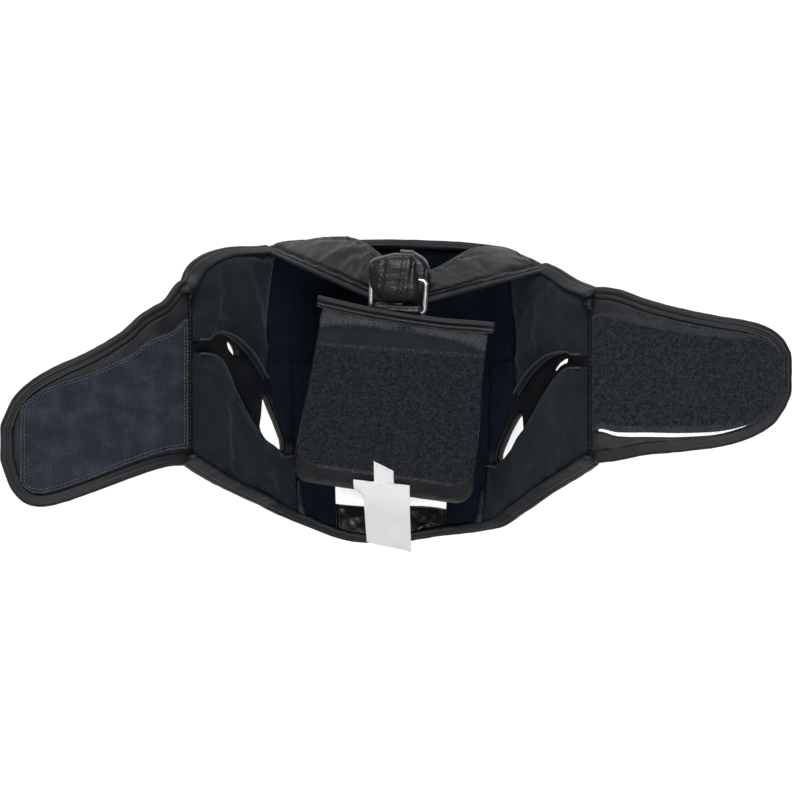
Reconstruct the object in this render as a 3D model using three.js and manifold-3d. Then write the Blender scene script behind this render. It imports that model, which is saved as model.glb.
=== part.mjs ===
// Padded boxing headgear in millimetres, lying on its face with the back opened.
// +X is the right-hand side seen from behind, +Y points to the crown and +Z points up from the ground.
// The wall is laid out like its pattern. Along the seam between lining and leather, u runs round the
// head from the middle of the front, positive to the right, v runs up to the crown, and t runs outwards.
import * as THREE from "three";
import Module from "manifold-3d";
import { mergeVertices } from "three/addons/utils/BufferGeometryUtils.js";

const wasm = await Module();
wasm.setup();

// Lengths round the head from the middle of the front
const FRONT_ARC = 130; // the curved front
const SIDE_LENGTH = 89; // the straight side, from the front to the wing's seam
const WING_LENGTH = { left: 130, right: 138 }; // from the seam to the tip
const FACE_HALF_WIDTH = 50;
const FRONT_PAD_END = 92; // seam between the thick front pads and the side
const TEMPLE_START = 118; // front seam of the temple lining
const JAW_START = 90; // front seam of the jaw lining
const LINING_MARGIN = 7; // bare stitched strip between the linings and the wing's seam

// Heights from the eye line
const CROWN_HEIGHT = 118; // up to the top edge in front
const CHIN_DEPTH = 128; // down to the bottom edge under the chin
const BROW_HEIGHT = 22; // up to the forehead pad's lower edge
const MOUTH_DEPTH = 98; // down to the chin bar

// Ear slot
const EAR_START = 95; // round the head
const EAR_LENGTH = 106;
const EAR_BASE = { left: -60, right: -68 }; // its lowest point from the eye line
const EAR_HEIGHT = { left: 102, right: 94 };
const EAR_SLIT = 9; // gap between the two linings behind the slot

// Thicknesses
const FOREHEAD_PAD = 24;
const CHEEK_PAD = 33;
const CHIN_PAD = 20;
const CHIN_LINING = 6;
const SIDE_PANEL = 8;
const FRONT_LINING = 9;
const TEMPLE_LINING = 12;
const JAW_LINING = 12;
const WING_PANEL = 5;
const TAPE = 2;
const RIM_BINDING = 9; // rolled leather edge
const WING_BINDING = 10;
const EAR_BINDING = 4;
const GAP = 0.35; // between pieces that touch
const LAYER_GAP = 0.8; // between the linings and the curved leather behind them

// Shape of the bowl
const CROWN_LEAN = 26; // how far the top edge leans in over the head
const CHIN_LEAN = 22; // how far the bottom edge leans in
const ROOT_CURVE = 8; // half the length over which the side bends out to the wing
const BENDS = {
  left: { sign: -1, side: 62, root: 37, tip: 4 }, // degrees from the ground, going round
  right: { sign: 1, side: 62, root: 24, tip: 4 },
};

// Tapes, measured from the wing's seam and from the wing's edges
const HOOK_TAPE_START = 6;
const HOOK_TAPE_LENGTH = 114;
const HOOK_TAPE_MARGIN = { root: 17, tip: 3 };
const LOOP_PANEL_START = 5;
const LOOP_PANEL_LENGTH = 128;
const LOOP_PANEL_MARGIN = { root: 22, tip: 3 };
const LOOP_PANEL_FOOT = 2; // above the wing's lower edge

// Long opening between the right wing and its rolled lower edge
const SLIT_START = 3; // from the wing's seam
const SLIT_LENGTH = 108;
const SLIT_HEIGHT = 5;

// Crown bands and the strap that carries the flap
const BAND_BASE = {
  left: { lower: 128, upper: 48 }, // lengths round the head
  right: { lower: 163, upper: 100 },
};
const BAND_THICKNESS = 7;
const BAND_END_WIDTH = 34;
const BAND_CORD = 5; // rolled edge of a band
const BAND_RISE = 9; // how far the bands arch
const KEEPER_WIDTH = { foot: 31, head: 48 };
const KEEPER_LENGTH = 44;
const KEEPER_DROP = 19; // below the ring's top bar
const KEEPER_THICKNESS = 12;
const RING_WIDTH = 42; // between the middles of the wire
const RING_HEIGHT = 28;
const RING_CORNER = 4.5;
const RING_WIRE = 3.6;
const STRAP_WIDTH = 32;
const STRAP_LENGTH = 46;
const STRAP_THICKNESS = 2.5;
const RING_RISE = 20.5; // from the flap's top edge to the ring's middle
const RING_SHIFT = -8; // to the left of the flap's middle
const RING_TURN = 5; // degrees against the flap

// Back flap
const FLAP_LENGTH = 145;
const FLAP_TOP_WIDTH = 130;
const FLAP_BOTTOM_WIDTH = 152;
const FLAP_THICKNESS = 9;
const FLAP_CORNER = 18; // radius of its lower corners
const FLAP_PLACE = { x: 11.5, y: 49, z: 141 }; // middle of its top edge, on the back
const FLAP_TURN = -8; // degrees, as it hangs
const FLAP_TILT = 24;
const FLAP_HEADER = 29; // plain fabric between the top bar and the loop patch
const FLAP_FOOT = 15; // leather below the loop patch
const FLAP_PATCH_MARGIN = 1.5;
const FLAP_BAR = 8;
const FLAP_BAR_THICKNESS = 5;
const FLAP_BAR_OVERHANG = 4;
const WEBBING_HEIGHT = 7;
const WEBBING_THICKNESS = 2;

// Care label
const LABEL_WIDTH = 46;
const LABEL_LENGTH = 71;
const LABEL_NECK_WIDTH = 16;
const LABEL_NECK_LENGTH = 15;
const LABEL_THICKNESS = 0.8;
const LABEL_SHIFT = { x: -1, y: -121 }; // from the middle of the flap's top edge

// Small leather tabs
const CHIN_TAB = { width: 9, length: 28, thickness: 2.5 };
const ROOT_TAB = { length: 10, thickness: 5 };

const ROOT = FRONT_ARC + SIDE_LENGTH;

// Edges of the wall. around is a share of ROOT, height a share of CROWN_HEIGHT or CHIN_DEPTH.
const TOP_EDGE = {
  left: [
    { around: 0, height: 1 },
    { around: 0.4, height: 0.99 },
    { around: 0.62, height: 0.925 },
    { around: 0.8, height: 0.875 },
    { around: 0.93, height: 0.77 },
    { around: 1, height: 0.64 },
  ],
  right: [
    { around: 0, height: 1 },
    { around: 0.3, height: 0.985 },
    { around: 0.52, height: 0.925 },
    { around: 0.75, height: 0.77 },
    { around: 0.88, height: 0.65 },
    { around: 1, height: 0.575 },
  ],
};
const BOTTOM_EDGE = {
  left: [
    { around: 0, height: 1 },
    { around: 0.18, height: 0.975 },
    { around: 0.37, height: 0.87 },
    { around: 0.62, height: 0.71 },
    { around: 0.82, height: 0.565 },
    { around: 1, height: 0.42 },
  ],
  right: [
    { around: 0, height: 1 },
    { around: 0.18, height: 0.95 },
    { around: 0.4, height: 0.905 },
    { around: 0.54, height: 0.845 },
    { around: 0.78, height: 0.605 },
    { around: 1, height: 0.425 },
  ],
};
// Ear slot. along is a share of EAR_LENGTH, upper and lower are shares of EAR_HEIGHT.
const EAR_OUTLINE = {
  left: [
    { along: 0, upper: 0.13, lower: 0.01 },
    { along: 0.05, upper: 0.28, lower: 0 },
    { along: 0.17, upper: 0.57, lower: 0.08 },
    { along: 0.36, upper: 0.8, lower: 0.2 },
    { along: 0.62, upper: 0.96, lower: 0.5 },
    { along: 0.8, upper: 1, lower: 0.76 },
    { along: 0.93, upper: 1, lower: 0.85 },
    { along: 1, upper: 0.97, lower: 0.87 },
  ],
  right: [
    { along: 0, upper: 0.13, lower: 0.01 },
    { along: 0.05, upper: 0.28, lower: 0 },
    { along: 0.17, upper: 0.57, lower: 0.09 },
    { along: 0.36, upper: 0.8, lower: 0.3 },
    { along: 0.62, upper: 0.96, lower: 0.62 },
    { along: 0.8, upper: 1, lower: 0.8 },
    { along: 0.93, upper: 1, lower: 0.87 },
    { along: 1, upper: 0.97, lower: 0.88 },
  ],
};
// The leather crosses the slot in the middle and opens at its ends, the ear hole in front and a vent
// behind. along is a share of EAR_LENGTH and height a share of EAR_HEIGHT.
const EAR_HOLE = {
  left: [
    { along: 0, height: 0.13 },
    { along: 0.04, height: 0.265 },
    { along: 0.095, height: 0.4 },
    { along: 0.15, height: 0.52 },
    { along: 0.2, height: 0.56 },
    { along: 0.23, height: 0.51 },
    { along: 0.255, height: 0.37 },
    { along: 0.28, height: 0.235 },
    { along: 0.225, height: 0.135 },
    { along: 0.12, height: 0.06 },
    { along: 0.05, height: 0.015 },
    { along: 0.005, height: 0.04 },
  ],
  right: [
    { along: 0.01, height: 0.106 },
    { along: 0.047, height: 0.234 },
    { along: 0.104, height: 0.372 },
    { along: 0.16, height: 0.468 },
    { along: 0.217, height: 0.51 },
    { along: 0.264, height: 0.489 },
    { along: 0.292, height: 0.383 },
    { along: 0.302, height: 0.245 },
    { along: 0.245, height: 0.138 },
    { along: 0.151, height: 0.053 },
    { along: 0.057, height: 0.011 },
    { along: 0.014, height: 0.043 },
  ],
};
const EAR_VENT = {
  left: [
    { along: 0.52, height: 0.843 },
    { along: 0.557, height: 0.912 },
    { along: 0.613, height: 0.951 },
    { along: 0.67, height: 0.951 },
    { along: 0.66, height: 0.892 },
    { along: 0.604, height: 0.843 },
    { along: 0.557, height: 0.814 },
  ],
  right: [
    { along: 0.613, height: 0.84 },
    { along: 0.66, height: 0.904 },
    { along: 0.726, height: 0.947 },
    { along: 0.8, height: 0.968 },
    { along: 0.85, height: 0.957 },
    { along: 0.84, height: 0.915 },
    { along: 0.764, height: 0.894 },
    { along: 0.698, height: 0.851 },
  ],
};
// Wing panels. along is a share of WING_LENGTH, upper of CROWN_HEIGHT and lower of CHIN_DEPTH.
const WING_EDGE = {
  left: [
    { along: 0, upper: 0.56, lower: -0.415 },
    { along: 0.12, upper: 0.46, lower: -0.433 },
    { along: 0.24, upper: 0.37, lower: -0.47 },
    { along: 0.36, upper: 0.24, lower: -0.516 },
    { along: 0.56, upper: 0.1, lower: -0.59 },
    { along: 0.75, upper: 0.01, lower: -0.645 },
    { along: 0.88, upper: -0.07, lower: -0.645 },
    { along: 0.95, upper: -0.15, lower: -0.572 },
    { along: 1, upper: -0.27, lower: -0.424 },
  ],
  right: [
    { along: 0, upper: 0.57, lower: -0.406 },
    { along: 0.12, upper: 0.55, lower: -0.387 },
    { along: 0.28, upper: 0.48, lower: -0.35 },
    { along: 0.48, upper: 0.41, lower: -0.327 },
    { along: 0.68, upper: 0.36, lower: -0.295 },
    { along: 0.82, upper: 0.33, lower: -0.249 },
    { along: 0.92, upper: 0.29, lower: -0.184 },
    { along: 0.97, upper: 0.24, lower: -0.111 },
    { along: 1, upper: 0.18, lower: -0.037 },
  ],
};
const WING_REACH = { upper: CROWN_HEIGHT, lower: CHIN_DEPTH };

const { clamp, degToRad, lerp, smoothstep } = THREE.MathUtils;
const vec = (x, y, z = 0) => new THREE.Vector3(x, y, z);

// Value of a named column on a smooth curve through the rows of a table.
function column(rows, key, name, x) {
  const last = rows.length - 1;
  const place = clamp(x, rows[0][key], rows[last][key]);
  let i = 0;
  while (i < last - 1 && place > rows[i + 1][key]) i += 1;
  const slope = (k) => {
    const a = rows[Math.max(k - 1, 0)];
    const b = rows[Math.min(k + 1, last)];
    return (b[name] - a[name]) / (b[key] - a[key]);
  };
  const step = rows[i + 1][key] - rows[i][key];
  const s = (place - rows[i][key]) / step;
  const rise = s * s * (3 - 2 * s);
  const start = slope(i) * step * s * (1 - s) * (1 - s);
  const end = slope(i + 1) * step * s * s * (s - 1);
  return lerp(rows[i][name], rows[i + 1][name], rise) + start + end;
}

const topEdge = (side, u) => CROWN_HEIGHT * column(TOP_EDGE[side], "around", "height", u / ROOT);
const bottomEdge = (side, u) => -CHIN_DEPTH * column(BOTTOM_EDGE[side], "around", "height", u / ROOT);
const earShare = (u) => (u - EAR_START) / EAR_LENGTH;
const earHeight = (side, share) => EAR_BASE[side] + EAR_HEIGHT[side] * share;
const earEdge = (side, name, u) =>
  earHeight(side, column(EAR_OUTLINE[side], "along", name, earShare(u)));
const earMiddle = (side, u) => (earEdge(side, "upper", u) + earEdge(side, "lower", u)) / 2;
const wingShare = (side, u) => (u - ROOT) / WING_LENGTH[side];
const wingEdge = (side, name, u) =>
  WING_REACH[name] * column(WING_EDGE[side], "along", name, wingShare(side, u));
const sideOf = (u) => (u < 0 ? "left" : "right");
const signed = (side, u) => BENDS[side].sign * u;

// Direction of the wall at a length round the head, as an angle from the ground.
function bend(side, u) {
  const { side: steep, root, tip } = BENDS[side];
  if (u < FRONT_ARC) return degToRad(steep) * (u / FRONT_ARC) ** 2;
  const wing = lerp(root, tip, clamp(wingShare(side, u), 0, 1));
  return degToRad(lerp(steep, wing, smoothstep(u, ROOT - ROOT_CURVE, ROOT + ROOT_CURVE)));
}

// Plan of the wall, added up in short steps from the middle of the front.
const PLAN_STEP = 1;
function plan(side) {
  const points = [vec(0, 0, FOREHEAD_PAD)];
  const end = ROOT + WING_LENGTH[side] + 2 * WING_BINDING;
  for (let u = 0; u < end; u += PLAN_STEP) {
    const angle = bend(side, u + PLAN_STEP / 2);
    const step = vec(BENDS[side].sign * Math.cos(angle), 0, Math.sin(angle));
    points.push(points.at(-1).clone().addScaledVector(step, PLAN_STEP));
  }
  return points;
}
const PLANS = { left: plan("left"), right: plan("right") };

// How far the wall leans in at a place.
function lean(u, v) {
  const round = smoothstep(u, FRONT_ARC, ROOT);
  const top = Math.max(v - BROW_HEIGHT, 0) / (CROWN_HEIGHT - BROW_HEIGHT);
  const bottom = Math.max(-v, 0) / CHIN_DEPTH;
  const crown = lerp(CROWN_LEAN, CROWN_LEAN / 2, smoothstep(u, 0, FRONT_ARC));
  return (1 - round) * (crown * top ** 2 + CHIN_LEAN * bottom ** 2);
}

// Point in space of a place on the wall.
function place(u, v, t) {
  const side = sideOf(u);
  const length = Math.abs(u);
  const steps = length / PLAN_STEP;
  const i = Math.min(Math.floor(steps), PLANS[side].length - 2);
  const point = PLANS[side][i].clone().lerp(PLANS[side][i + 1], steps - i);
  const angle = bend(side, length);
  const out = vec(BENDS[side].sign * Math.sin(angle), 0, -Math.cos(angle));
  point.addScaledVector(out, t - lean(length, v));
  point.y = v;
  return point;
}

// Closed solid through a row of point loops with equal numbers of points. A ring has no end caps.
function loft(loops, ring = false) {
  const size = loops[0].length;
  const points = loops.flat();
  const faces = [];
  const spans = ring ? loops.length : loops.length - 1;
  for (let i = 0; i < spans; i += 1) {
    const a = i * size;
    const b = ((i + 1) % loops.length) * size;
    for (let j = 0; j < size; j += 1) {
      const k = (j + 1) % size;
      faces.push([a + j, a + k, b + k], [a + j, b + k, b + j]);
    }
  }
  if (!ring) {
    faces.push(...cap(loops[0]).map((face) => [face[0], face[2], face[1]]));
    const start = (loops.length - 1) * size;
    faces.push(...cap(loops.at(-1)).map((face) => face.map((k) => k + start)));
  }
  return solid(points, faces);
}

// Triangles that fill a flat loop, wound like the loop itself.
function cap(loop) {
  const normal = vec(0, 0);
  loop.forEach((p, k) => normal.add(p.clone().cross(loop[(k + 1) % loop.length])));
  normal.normalize();
  const across = loop[1].clone().sub(loop[0]).projectOnPlane(normal).normalize();
  const up = normal.clone().cross(across);
  const flat = loop.map((p) => new THREE.Vector2(p.dot(across), p.dot(up)));
  return THREE.ShapeUtils.triangulateShape(flat, []);
}

// Geometry from points and faces, turned so that the faces point outwards.
function solid(points, faces) {
  let volume = 0;
  for (const [a, b, c] of faces) {
    volume += points[a].dot(points[b].clone().cross(points[c]));
  }
  const out = volume > 0 ? faces : faces.map(([a, b, c]) => [a, c, b]);
  const geometry = new THREE.BufferGeometry();
  geometry.setAttribute("position", new THREE.Float32BufferAttribute(points.flatMap((p) => p.toArray()), 3));
  geometry.setIndex(out.flat());
  geometry.computeVertexNormals();
  return geometry;
}

function toManifold(geometry) {
  const bare = geometry.clone();
  bare.deleteAttribute("normal");
  bare.deleteAttribute("uv");
  const merged = mergeVertices(bare, 1e-4);
  return new wasm.Manifold(
    new wasm.Mesh({
      numProp: 3,
      vertProperties: new Float32Array(merged.attributes.position.array),
      triVerts: new Uint32Array(merged.index.array),
    }),
  );
}

function fromManifold(shape) {
  const mesh = shape.getMesh();
  const geometry = new THREE.BufferGeometry();
  geometry.setAttribute("position", new THREE.BufferAttribute(mesh.vertProperties, 3));
  geometry.setIndex(new THREE.BufferAttribute(mesh.triVerts, 1));
  geometry.computeVertexNormals();
  return geometry;
}

const cut = (geometry, cutter) => fromManifold(toManifold(geometry).subtract(toManifold(cutter)));

const spread = (from, to, count) =>
  Array.from({ length: count }, (_, k) => lerp(from, to, k / (count - 1)));

// Lengths round the head that all the pieces between two ends share, so that their facets match
const STATION_STEP = 10;
function stationsBetween(from, to) {
  const inside = [];
  for (let u = Math.ceil(from / STATION_STEP + 0.2) * STATION_STEP; u < to - 2; u += STATION_STEP) {
    inside.push(u);
  }
  return [from, ...inside, to];
}

// Rounding of a padded piece across its width: 1 in the middle, edge at both ends.
function crown(share, edge) {
  const off = Math.min(Math.abs(2 * share - 1), 1);
  return edge + (1 - edge) * Math.sqrt(1 - off ** 3);
}

// Padded piece on the wall: flat against the seam at inner, rounded towards inner + thick, which may
// be negative. low and high give its edges at each length round the head.
function pad({ from, to, stations, low, high, inner, thick, edge = 0.35, across = 6 }) {
  const loops = (stations ?? stationsBetween(from, to)).map((u) => {
    const end = crown((u - from) / (to - from), edge);
    const at = (k) => lerp(low(u), high(u), k / across);
    const flat = spread(0, across, across + 1).map((k) => place(u, at(k), inner));
    const round = spread(across, 0, across + 1).map((k) =>
      place(u, at(k), inner + thick * crown(k / across, edge) * end),
    );
    return [...flat, ...round];
  });
  return loft(loops);
}

// Sideways direction of a path of [u, v] places at one of them, to the left and lengthened at
// corners so that an offset path keeps its distance. An open path starts and ends squarely.
function sideways(path, k, ring) {
  const count = path.length;
  const open = !ring && (k === 0 || k === count - 1);
  const [u, v] = path[k];
  const [u0, v0] = path[ring ? (k + count - 1) % count : Math.max(k - 1, 0)];
  const [u1, v1] = path[ring ? (k + 1) % count : Math.min(k + 1, count - 1)];
  if (open) return new THREE.Vector2(0, Math.sign(u1 - u0));
  const before = new THREE.Vector2(v0 - v, u - u0).normalize();
  const after = new THREE.Vector2(v - v1, u1 - u).normalize();
  const middle = before.clone().add(after).normalize();
  return middle.divideScalar(Math.max(middle.dot(before), 0.6));
}

// Path moved sideways by a distance, to the left of its direction
function aside(path, distance, ring = false) {
  return path.map(([u, v], k) => {
    const out = sideways(path, k, ring);
    return [u + out.x * distance, v + out.y * distance];
  });
}

// Rolled edge along a path, at depth t in the wall
function cord(path, { width, thick, t, sides = 6, ring = false }) {
  const loops = path.map(([u, v], k) => {
    const out = sideways(path, k, ring);
    return spread(0, sides, sides + 1)
      .slice(0, sides)
      .map((j) => {
        const angle = (2 * Math.PI * (j + 0.5)) / sides;
        const off = (width / 2) * Math.cos(angle);
        return place(u + out.x * off, v + out.y * off, t + (thick / 2) * Math.sin(angle));
      });
  });
  return loft(loops, ring);
}

const group = new THREE.Group();
const LEATHER_LOOK = { color: 0x1c1d20, roughness: 0.45, metalness: 0 };
const LINING_LOOK = { color: 0x14171c, roughness: 0.9, metalness: 0 };
const TAPE_LOOK = { color: 0x24272d, roughness: 1, metalness: 0 };
const METAL_LOOK = { color: 0xb9bcc0, roughness: 0.3, metalness: 1 };
const LABEL_LOOK = { color: 0xf2f2f0, roughness: 0.8, metalness: 0 };

function add(name, geometry, look, parent = group) {
  const mesh = new THREE.Mesh(geometry, new THREE.MeshStandardMaterial(look));
  mesh.name = name;
  parent.add(mesh);
  return mesh;
}

// Edges that pieces share
const seam = GAP / 2;
const layer = LAYER_GAP / 2;
const top = (u) => topEdge(sideOf(u), Math.abs(u));
const bottom = (u) => bottomEdge(sideOf(u), Math.abs(u));
const templeFoot = (side, u) => Math.max(earEdge(side, "upper", u), earMiddle(side, u) + EAR_SLIT / 2);
const jawHead = (side, u) => Math.min(earEdge(side, "lower", u), earMiddle(side, u) - EAR_SLIT / 2);
const liningEnd = ROOT - LINING_MARGIN;

// Front of the head
function forehead() {
  const edges = { low: () => BROW_HEIGHT, high: top };
  const end = FRONT_PAD_END - seam;
  const outer = { from: -end, to: end, ...edges, inner: layer, thick: FOREHEAD_PAD };
  add("forehead_pad", pad(outer), LEATHER_LOOK);
  const rear = TEMPLE_START - seam;
  const inner = { from: -rear, to: rear, ...edges, inner: -layer, thick: -FRONT_LINING };
  add("forehead_lining", pad(inner), LINING_LOOK);
}

function chin() {
  const end = FACE_HALF_WIDTH - seam;
  const edges = { from: -end, to: end, low: bottom, high: () => -MOUTH_DEPTH };
  add("chin_pad", pad({ ...edges, inner: layer, thick: CHIN_PAD }), LEATHER_LOOK);
  add("chin_lining", pad({ ...edges, inner: -layer, thick: -CHIN_LINING, edge: 0.5 }), LEATHER_LOOK);
}

function cheek(side) {
  const from = FACE_HALF_WIDTH + seam;
  const high = () => BROW_HEIGHT - GAP;
  const outer = { from, to: FRONT_PAD_END - seam, low: (u) => bottom(signed(side, u)), high };
  const padded = { ...outer, inner: layer, thick: CHEEK_PAD, edge: 0.25 };
  add(`${side}_cheek_pad`, sidePad(side, padded), LEATHER_LOOK);
  const step = JAW_START - 2 * GAP;
  const low = (u) => (u > step ? templeFoot(side, u) : bottom(signed(side, u)));
  const stations = [...stationsBetween(from, step), ...stationsBetween(step + GAP, TEMPLE_START - seam)];
  const lining = { stations, low, high, inner: -layer, thick: -FRONT_LINING };
  add(`${side}_cheek_lining`, sidePad(side, lining), LINING_LOOK);
}

// A padded piece given by lengths round one side of the head
function sidePad(side, { from, to, stations, low, high, ...rest }) {
  const rows = (stations ?? stationsBetween(from, to)).map((u) => signed(side, u));
  return pad({
    ...rest,
    from: rows[0],
    to: rows.at(-1),
    stations: rows,
    low: (u) => low(Math.abs(u)),
    high: (u) => high(Math.abs(u)),
  });
}

// Closed outline through the rows of a table, as [u, v] places
function holePath(side, rows, count) {
  const outline = rows.map((row) => vec(EAR_START + EAR_LENGTH * row.along, earHeight(side, row.height)));
  const curve = new THREE.CatmullRomCurve3(outline, true);
  return curve
    .getSpacedPoints(count)
    .slice(1)
    .map((p) => [signed(side, p.x), p.y]);
}

// Solid that passes through the wall inside a closed outline
function throughWall(path, inner, outer) {
  const loops = [inner, outer].map((t) => path.map(([u, v]) => place(u, v, t)));
  const size = path.length;
  const inside = THREE.ShapeUtils.triangulateShape(path.map(([u, v]) => new THREE.Vector2(u, v)), []);
  const faces = inside.flatMap(([a, b, c]) => [
    [a, c, b],
    [a + size, b + size, c + size],
  ]);
  const turn = THREE.ShapeUtils.area(path.map(([u, v]) => new THREE.Vector2(u, v))) > 0;
  for (let j = 0; j < size; j += 1) {
    const k = (j + 1) % size;
    const wall = [
      [j, k, k + size],
      [j, k + size, j + size],
    ];
    faces.push(...(turn ? wall : wall.map(([a, b, c]) => [a, c, b])));
  }
  return solid(loops.flat(), faces);
}

// Sides, round the ears
function sideWall(side) {
  const low = (u) => bottom(signed(side, u));
  const high = (u) => top(signed(side, u));
  const turn = side === "right" ? -1 : 1;
  const ear = holePath(side, EAR_HOLE[side], 26);
  const vent = holePath(side, EAR_VENT[side], 10);
  const panel = sidePad(side, {
    from: FRONT_PAD_END + seam,
    to: ROOT - seam,
    low,
    high,
    inner: layer,
    thick: SIDE_PANEL,
    edge: 0.6,
  });
  const through = (path) => throughWall(path, -SIDE_PANEL, 3 * SIDE_PANEL);
  add(`${side}_side_panel`, cut(cut(panel, through(ear)), through(vent)), LEATHER_LOOK);
  const inner = { to: liningEnd, inner: -layer };
  const foot = (u) => templeFoot(side, u);
  const head = (u) => jawHead(side, u);
  const temple = { from: TEMPLE_START + seam, low: foot, high, thick: -TEMPLE_LINING };
  add(`${side}_temple_lining`, sidePad(side, { ...inner, ...temple }), LINING_LOOK);
  const jaw = { from: JAW_START + seam, low, high: head, thick: -JAW_LINING };
  add(`${side}_jaw_lining`, sidePad(side, { ...inner, ...jaw }), LINING_LOOK);
  const size = { width: EAR_BINDING, thick: EAR_BINDING * 1.5, t: SIDE_PANEL / 2 };
  const inset = aside(ear, turn * (EAR_BINDING / 2 + GAP), true);
  add(`${side}_ear_binding`, cord(inset, { ...size, ring: true, sides: 6 }), LEATHER_LOOK);
}

// Rolled leather along the top and bottom edges. The crown bands interrupt the top one.
function rim() {
  const size = { width: RIM_BINDING, thick: RIM_BINDING * 1.35, t: 1, sides: 8 };
  const off = RIM_BINDING / 2 + GAP;
  const upper = (name, from, to) => {
    const path = stationsBetween(from, to).map((u) => [u, top(u)]);
    add(name, cord(aside(path, off), size), LEATHER_LOOK);
  };
  const { left, right } = BAND_BASE;
  upper("left_rim_binding", -ROOT + seam, -left.lower - 2 * BAND_CORD);
  upper("crown_rim_binding", -left.upper + BAND_CORD, right.upper - BAND_CORD);
  upper("right_rim_binding", right.lower + 2 * BAND_CORD, ROOT - seam);
  const path = stationsBetween(-ROOT + seam, ROOT - seam).map((u) => [u, bottom(u)]);
  add("lower_rim_binding", cord(aside(path, -off), size), LEATHER_LOOK);
}

// Height of the opening between the right wing and its rolled lower edge
function slit(side, u) {
  const share = (u - ROOT - SLIT_START) / SLIT_LENGTH;
  if (side === "left" || share < 0 || share > 1) return 0;
  return SLIT_HEIGHT * Math.sin(Math.PI * Math.sqrt(share)) ** 0.5;
}

function wing(side) {
  const end = ROOT + WING_LENGTH[side];
  const half = WING_PANEL / 2;
  const low = (u) => wingEdge(side, "lower", u) + slit(side, u);
  const high = (u) => wingEdge(side, "upper", u);
  const panel = { from: ROOT + seam, to: end, low, high, inner: half, thick: -WING_PANEL };
  const stations = stationsBetween(ROOT + seam, end);
  stations.splice(-1, 0, lerp(stations.at(-2), end, 0.6));
  add(`${side}_wing`, sidePad(side, { ...panel, stations, edge: 0.6 }), LEATHER_LOOK);
  const path = [
    ...stations.map((u) => [signed(side, u), wingEdge(side, "upper", u)]),
    ...stations.reverse().map((u) => [signed(side, u), wingEdge(side, "lower", u)]),
  ];
  const size = { width: WING_BINDING, thick: WING_BINDING * 0.8, t: 0, sides: 8 };
  const off = BENDS[side].sign * (WING_BINDING / 2 + GAP);
  add(`${side}_wing_binding`, cord(aside(path, off), size), LEATHER_LOOK);
  return { low, high, inner: -half - GAP, thick: -TAPE, edge: 0.8, across: 4 };
}

function hookTape() {
  const { low, high, ...rest } = wing("left");
  const from = ROOT + HOOK_TAPE_START;
  const to = from + HOOK_TAPE_LENGTH;
  const margin = (u) => lerp(HOOK_TAPE_MARGIN.root, HOOK_TAPE_MARGIN.tip, smoothstep(u, from, to));
  const edges = { low: (u) => low(u) + margin(u), high: (u) => high(u) - margin(u) };
  add("left_hook_tape", sidePad("left", { from, to, ...edges, ...rest }), TAPE_LOOK);
}

function loopPanel() {
  const { low, high, ...rest } = wing("right");
  const from = ROOT + LOOP_PANEL_START;
  const to = from + LOOP_PANEL_LENGTH;
  const margin = (u) => lerp(LOOP_PANEL_MARGIN.root, LOOP_PANEL_MARGIN.tip, smoothstep(u, from, to));
  const edges = { low: (u) => low(u) + LOOP_PANEL_FOOT, high: (u) => high(u) - margin(u) };
  add("right_loop_panel", sidePad("right", { from, to, ...edges, ...rest }), TAPE_LOOK);
}

// Small leather tabs at the ends of seams
function tabs(side) {
  const { width, length, thickness } = CHIN_TAB;
  const foot = (u) => bottom(signed(side, u)) + GAP;
  const chinTab = {
    from: JAW_START - width / 2,
    to: JAW_START + width / 2,
    low: foot,
    high: (u) => foot(u) + length * crown((u - JAW_START) / width + 0.5, 0.3),
    inner: -JAW_LINING * 0.78,
    thick: -thickness,
  };
  add(`${side}_chin_tab`, sidePad(side, chinTab), LEATHER_LOOK);
  const rootHigh = (u) => top(signed(side, u)) - GAP;
  const rootTab = {
    from: liningEnd + GAP,
    to: ROOT - seam,
    low: (u) => rootHigh(u) - ROOT_TAB.length,
    high: rootHigh,
    inner: -layer,
    thick: -ROOT_TAB.thickness,
  };
  add(`${side}_seam_tab`, sidePad(side, rootTab), LEATHER_LOOK);
}

// The flap hangs in a frame of its own: x across, y up to the crown, z out of the head. The ring's
// frame is carried by it, level with the strap behind the flap.
const flapFrame = new THREE.Group();
flapFrame.position.copy(FLAP_PLACE);
flapFrame.rotation.set(degToRad(FLAP_TILT), 0, degToRad(FLAP_TURN), "ZYX");
group.add(flapFrame);
const ringFrame = new THREE.Group();
ringFrame.position.set(RING_SHIFT, RING_RISE, -STRAP_THICKNESS / 2 - GAP);
ringFrame.rotation.z = degToRad(RING_TURN);
flapFrame.add(ringFrame);
group.updateMatrixWorld(true);

function ring() {
  const x = RING_WIDTH / 2;
  const y = RING_HEIGHT / 2;
  const r = RING_CORNER;
  const outline = new THREE.Shape();
  outline.absarc(x - r, y - r, r, 0, Math.PI / 2);
  outline.absarc(r - x, y - r, r, Math.PI / 2, Math.PI);
  outline.absarc(r - x, r - y, r, Math.PI, 1.5 * Math.PI);
  outline.absarc(x - r, r - y, r, 1.5 * Math.PI, 2 * Math.PI);
  const path = outline.getPoints(4);
  const loops = path.slice(0, -1).map((p, k) => {
    const last = path.length - 1;
    const along = path[(k + 1) % last].clone().sub(path[(k + last - 1) % last]).normalize();
    return spread(0, 8, 9).slice(0, 8).map((j) => {
      const angle = (2 * Math.PI * j) / 8;
      const off = (RING_WIRE / 2) * Math.cos(angle);
      return vec(p.x + along.y * off, p.y - along.x * off, (RING_WIRE / 2) * Math.sin(angle));
    });
  });
  add("crown_ring", loft(loops, true), METAL_LOOK, ringFrame);
}

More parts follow.
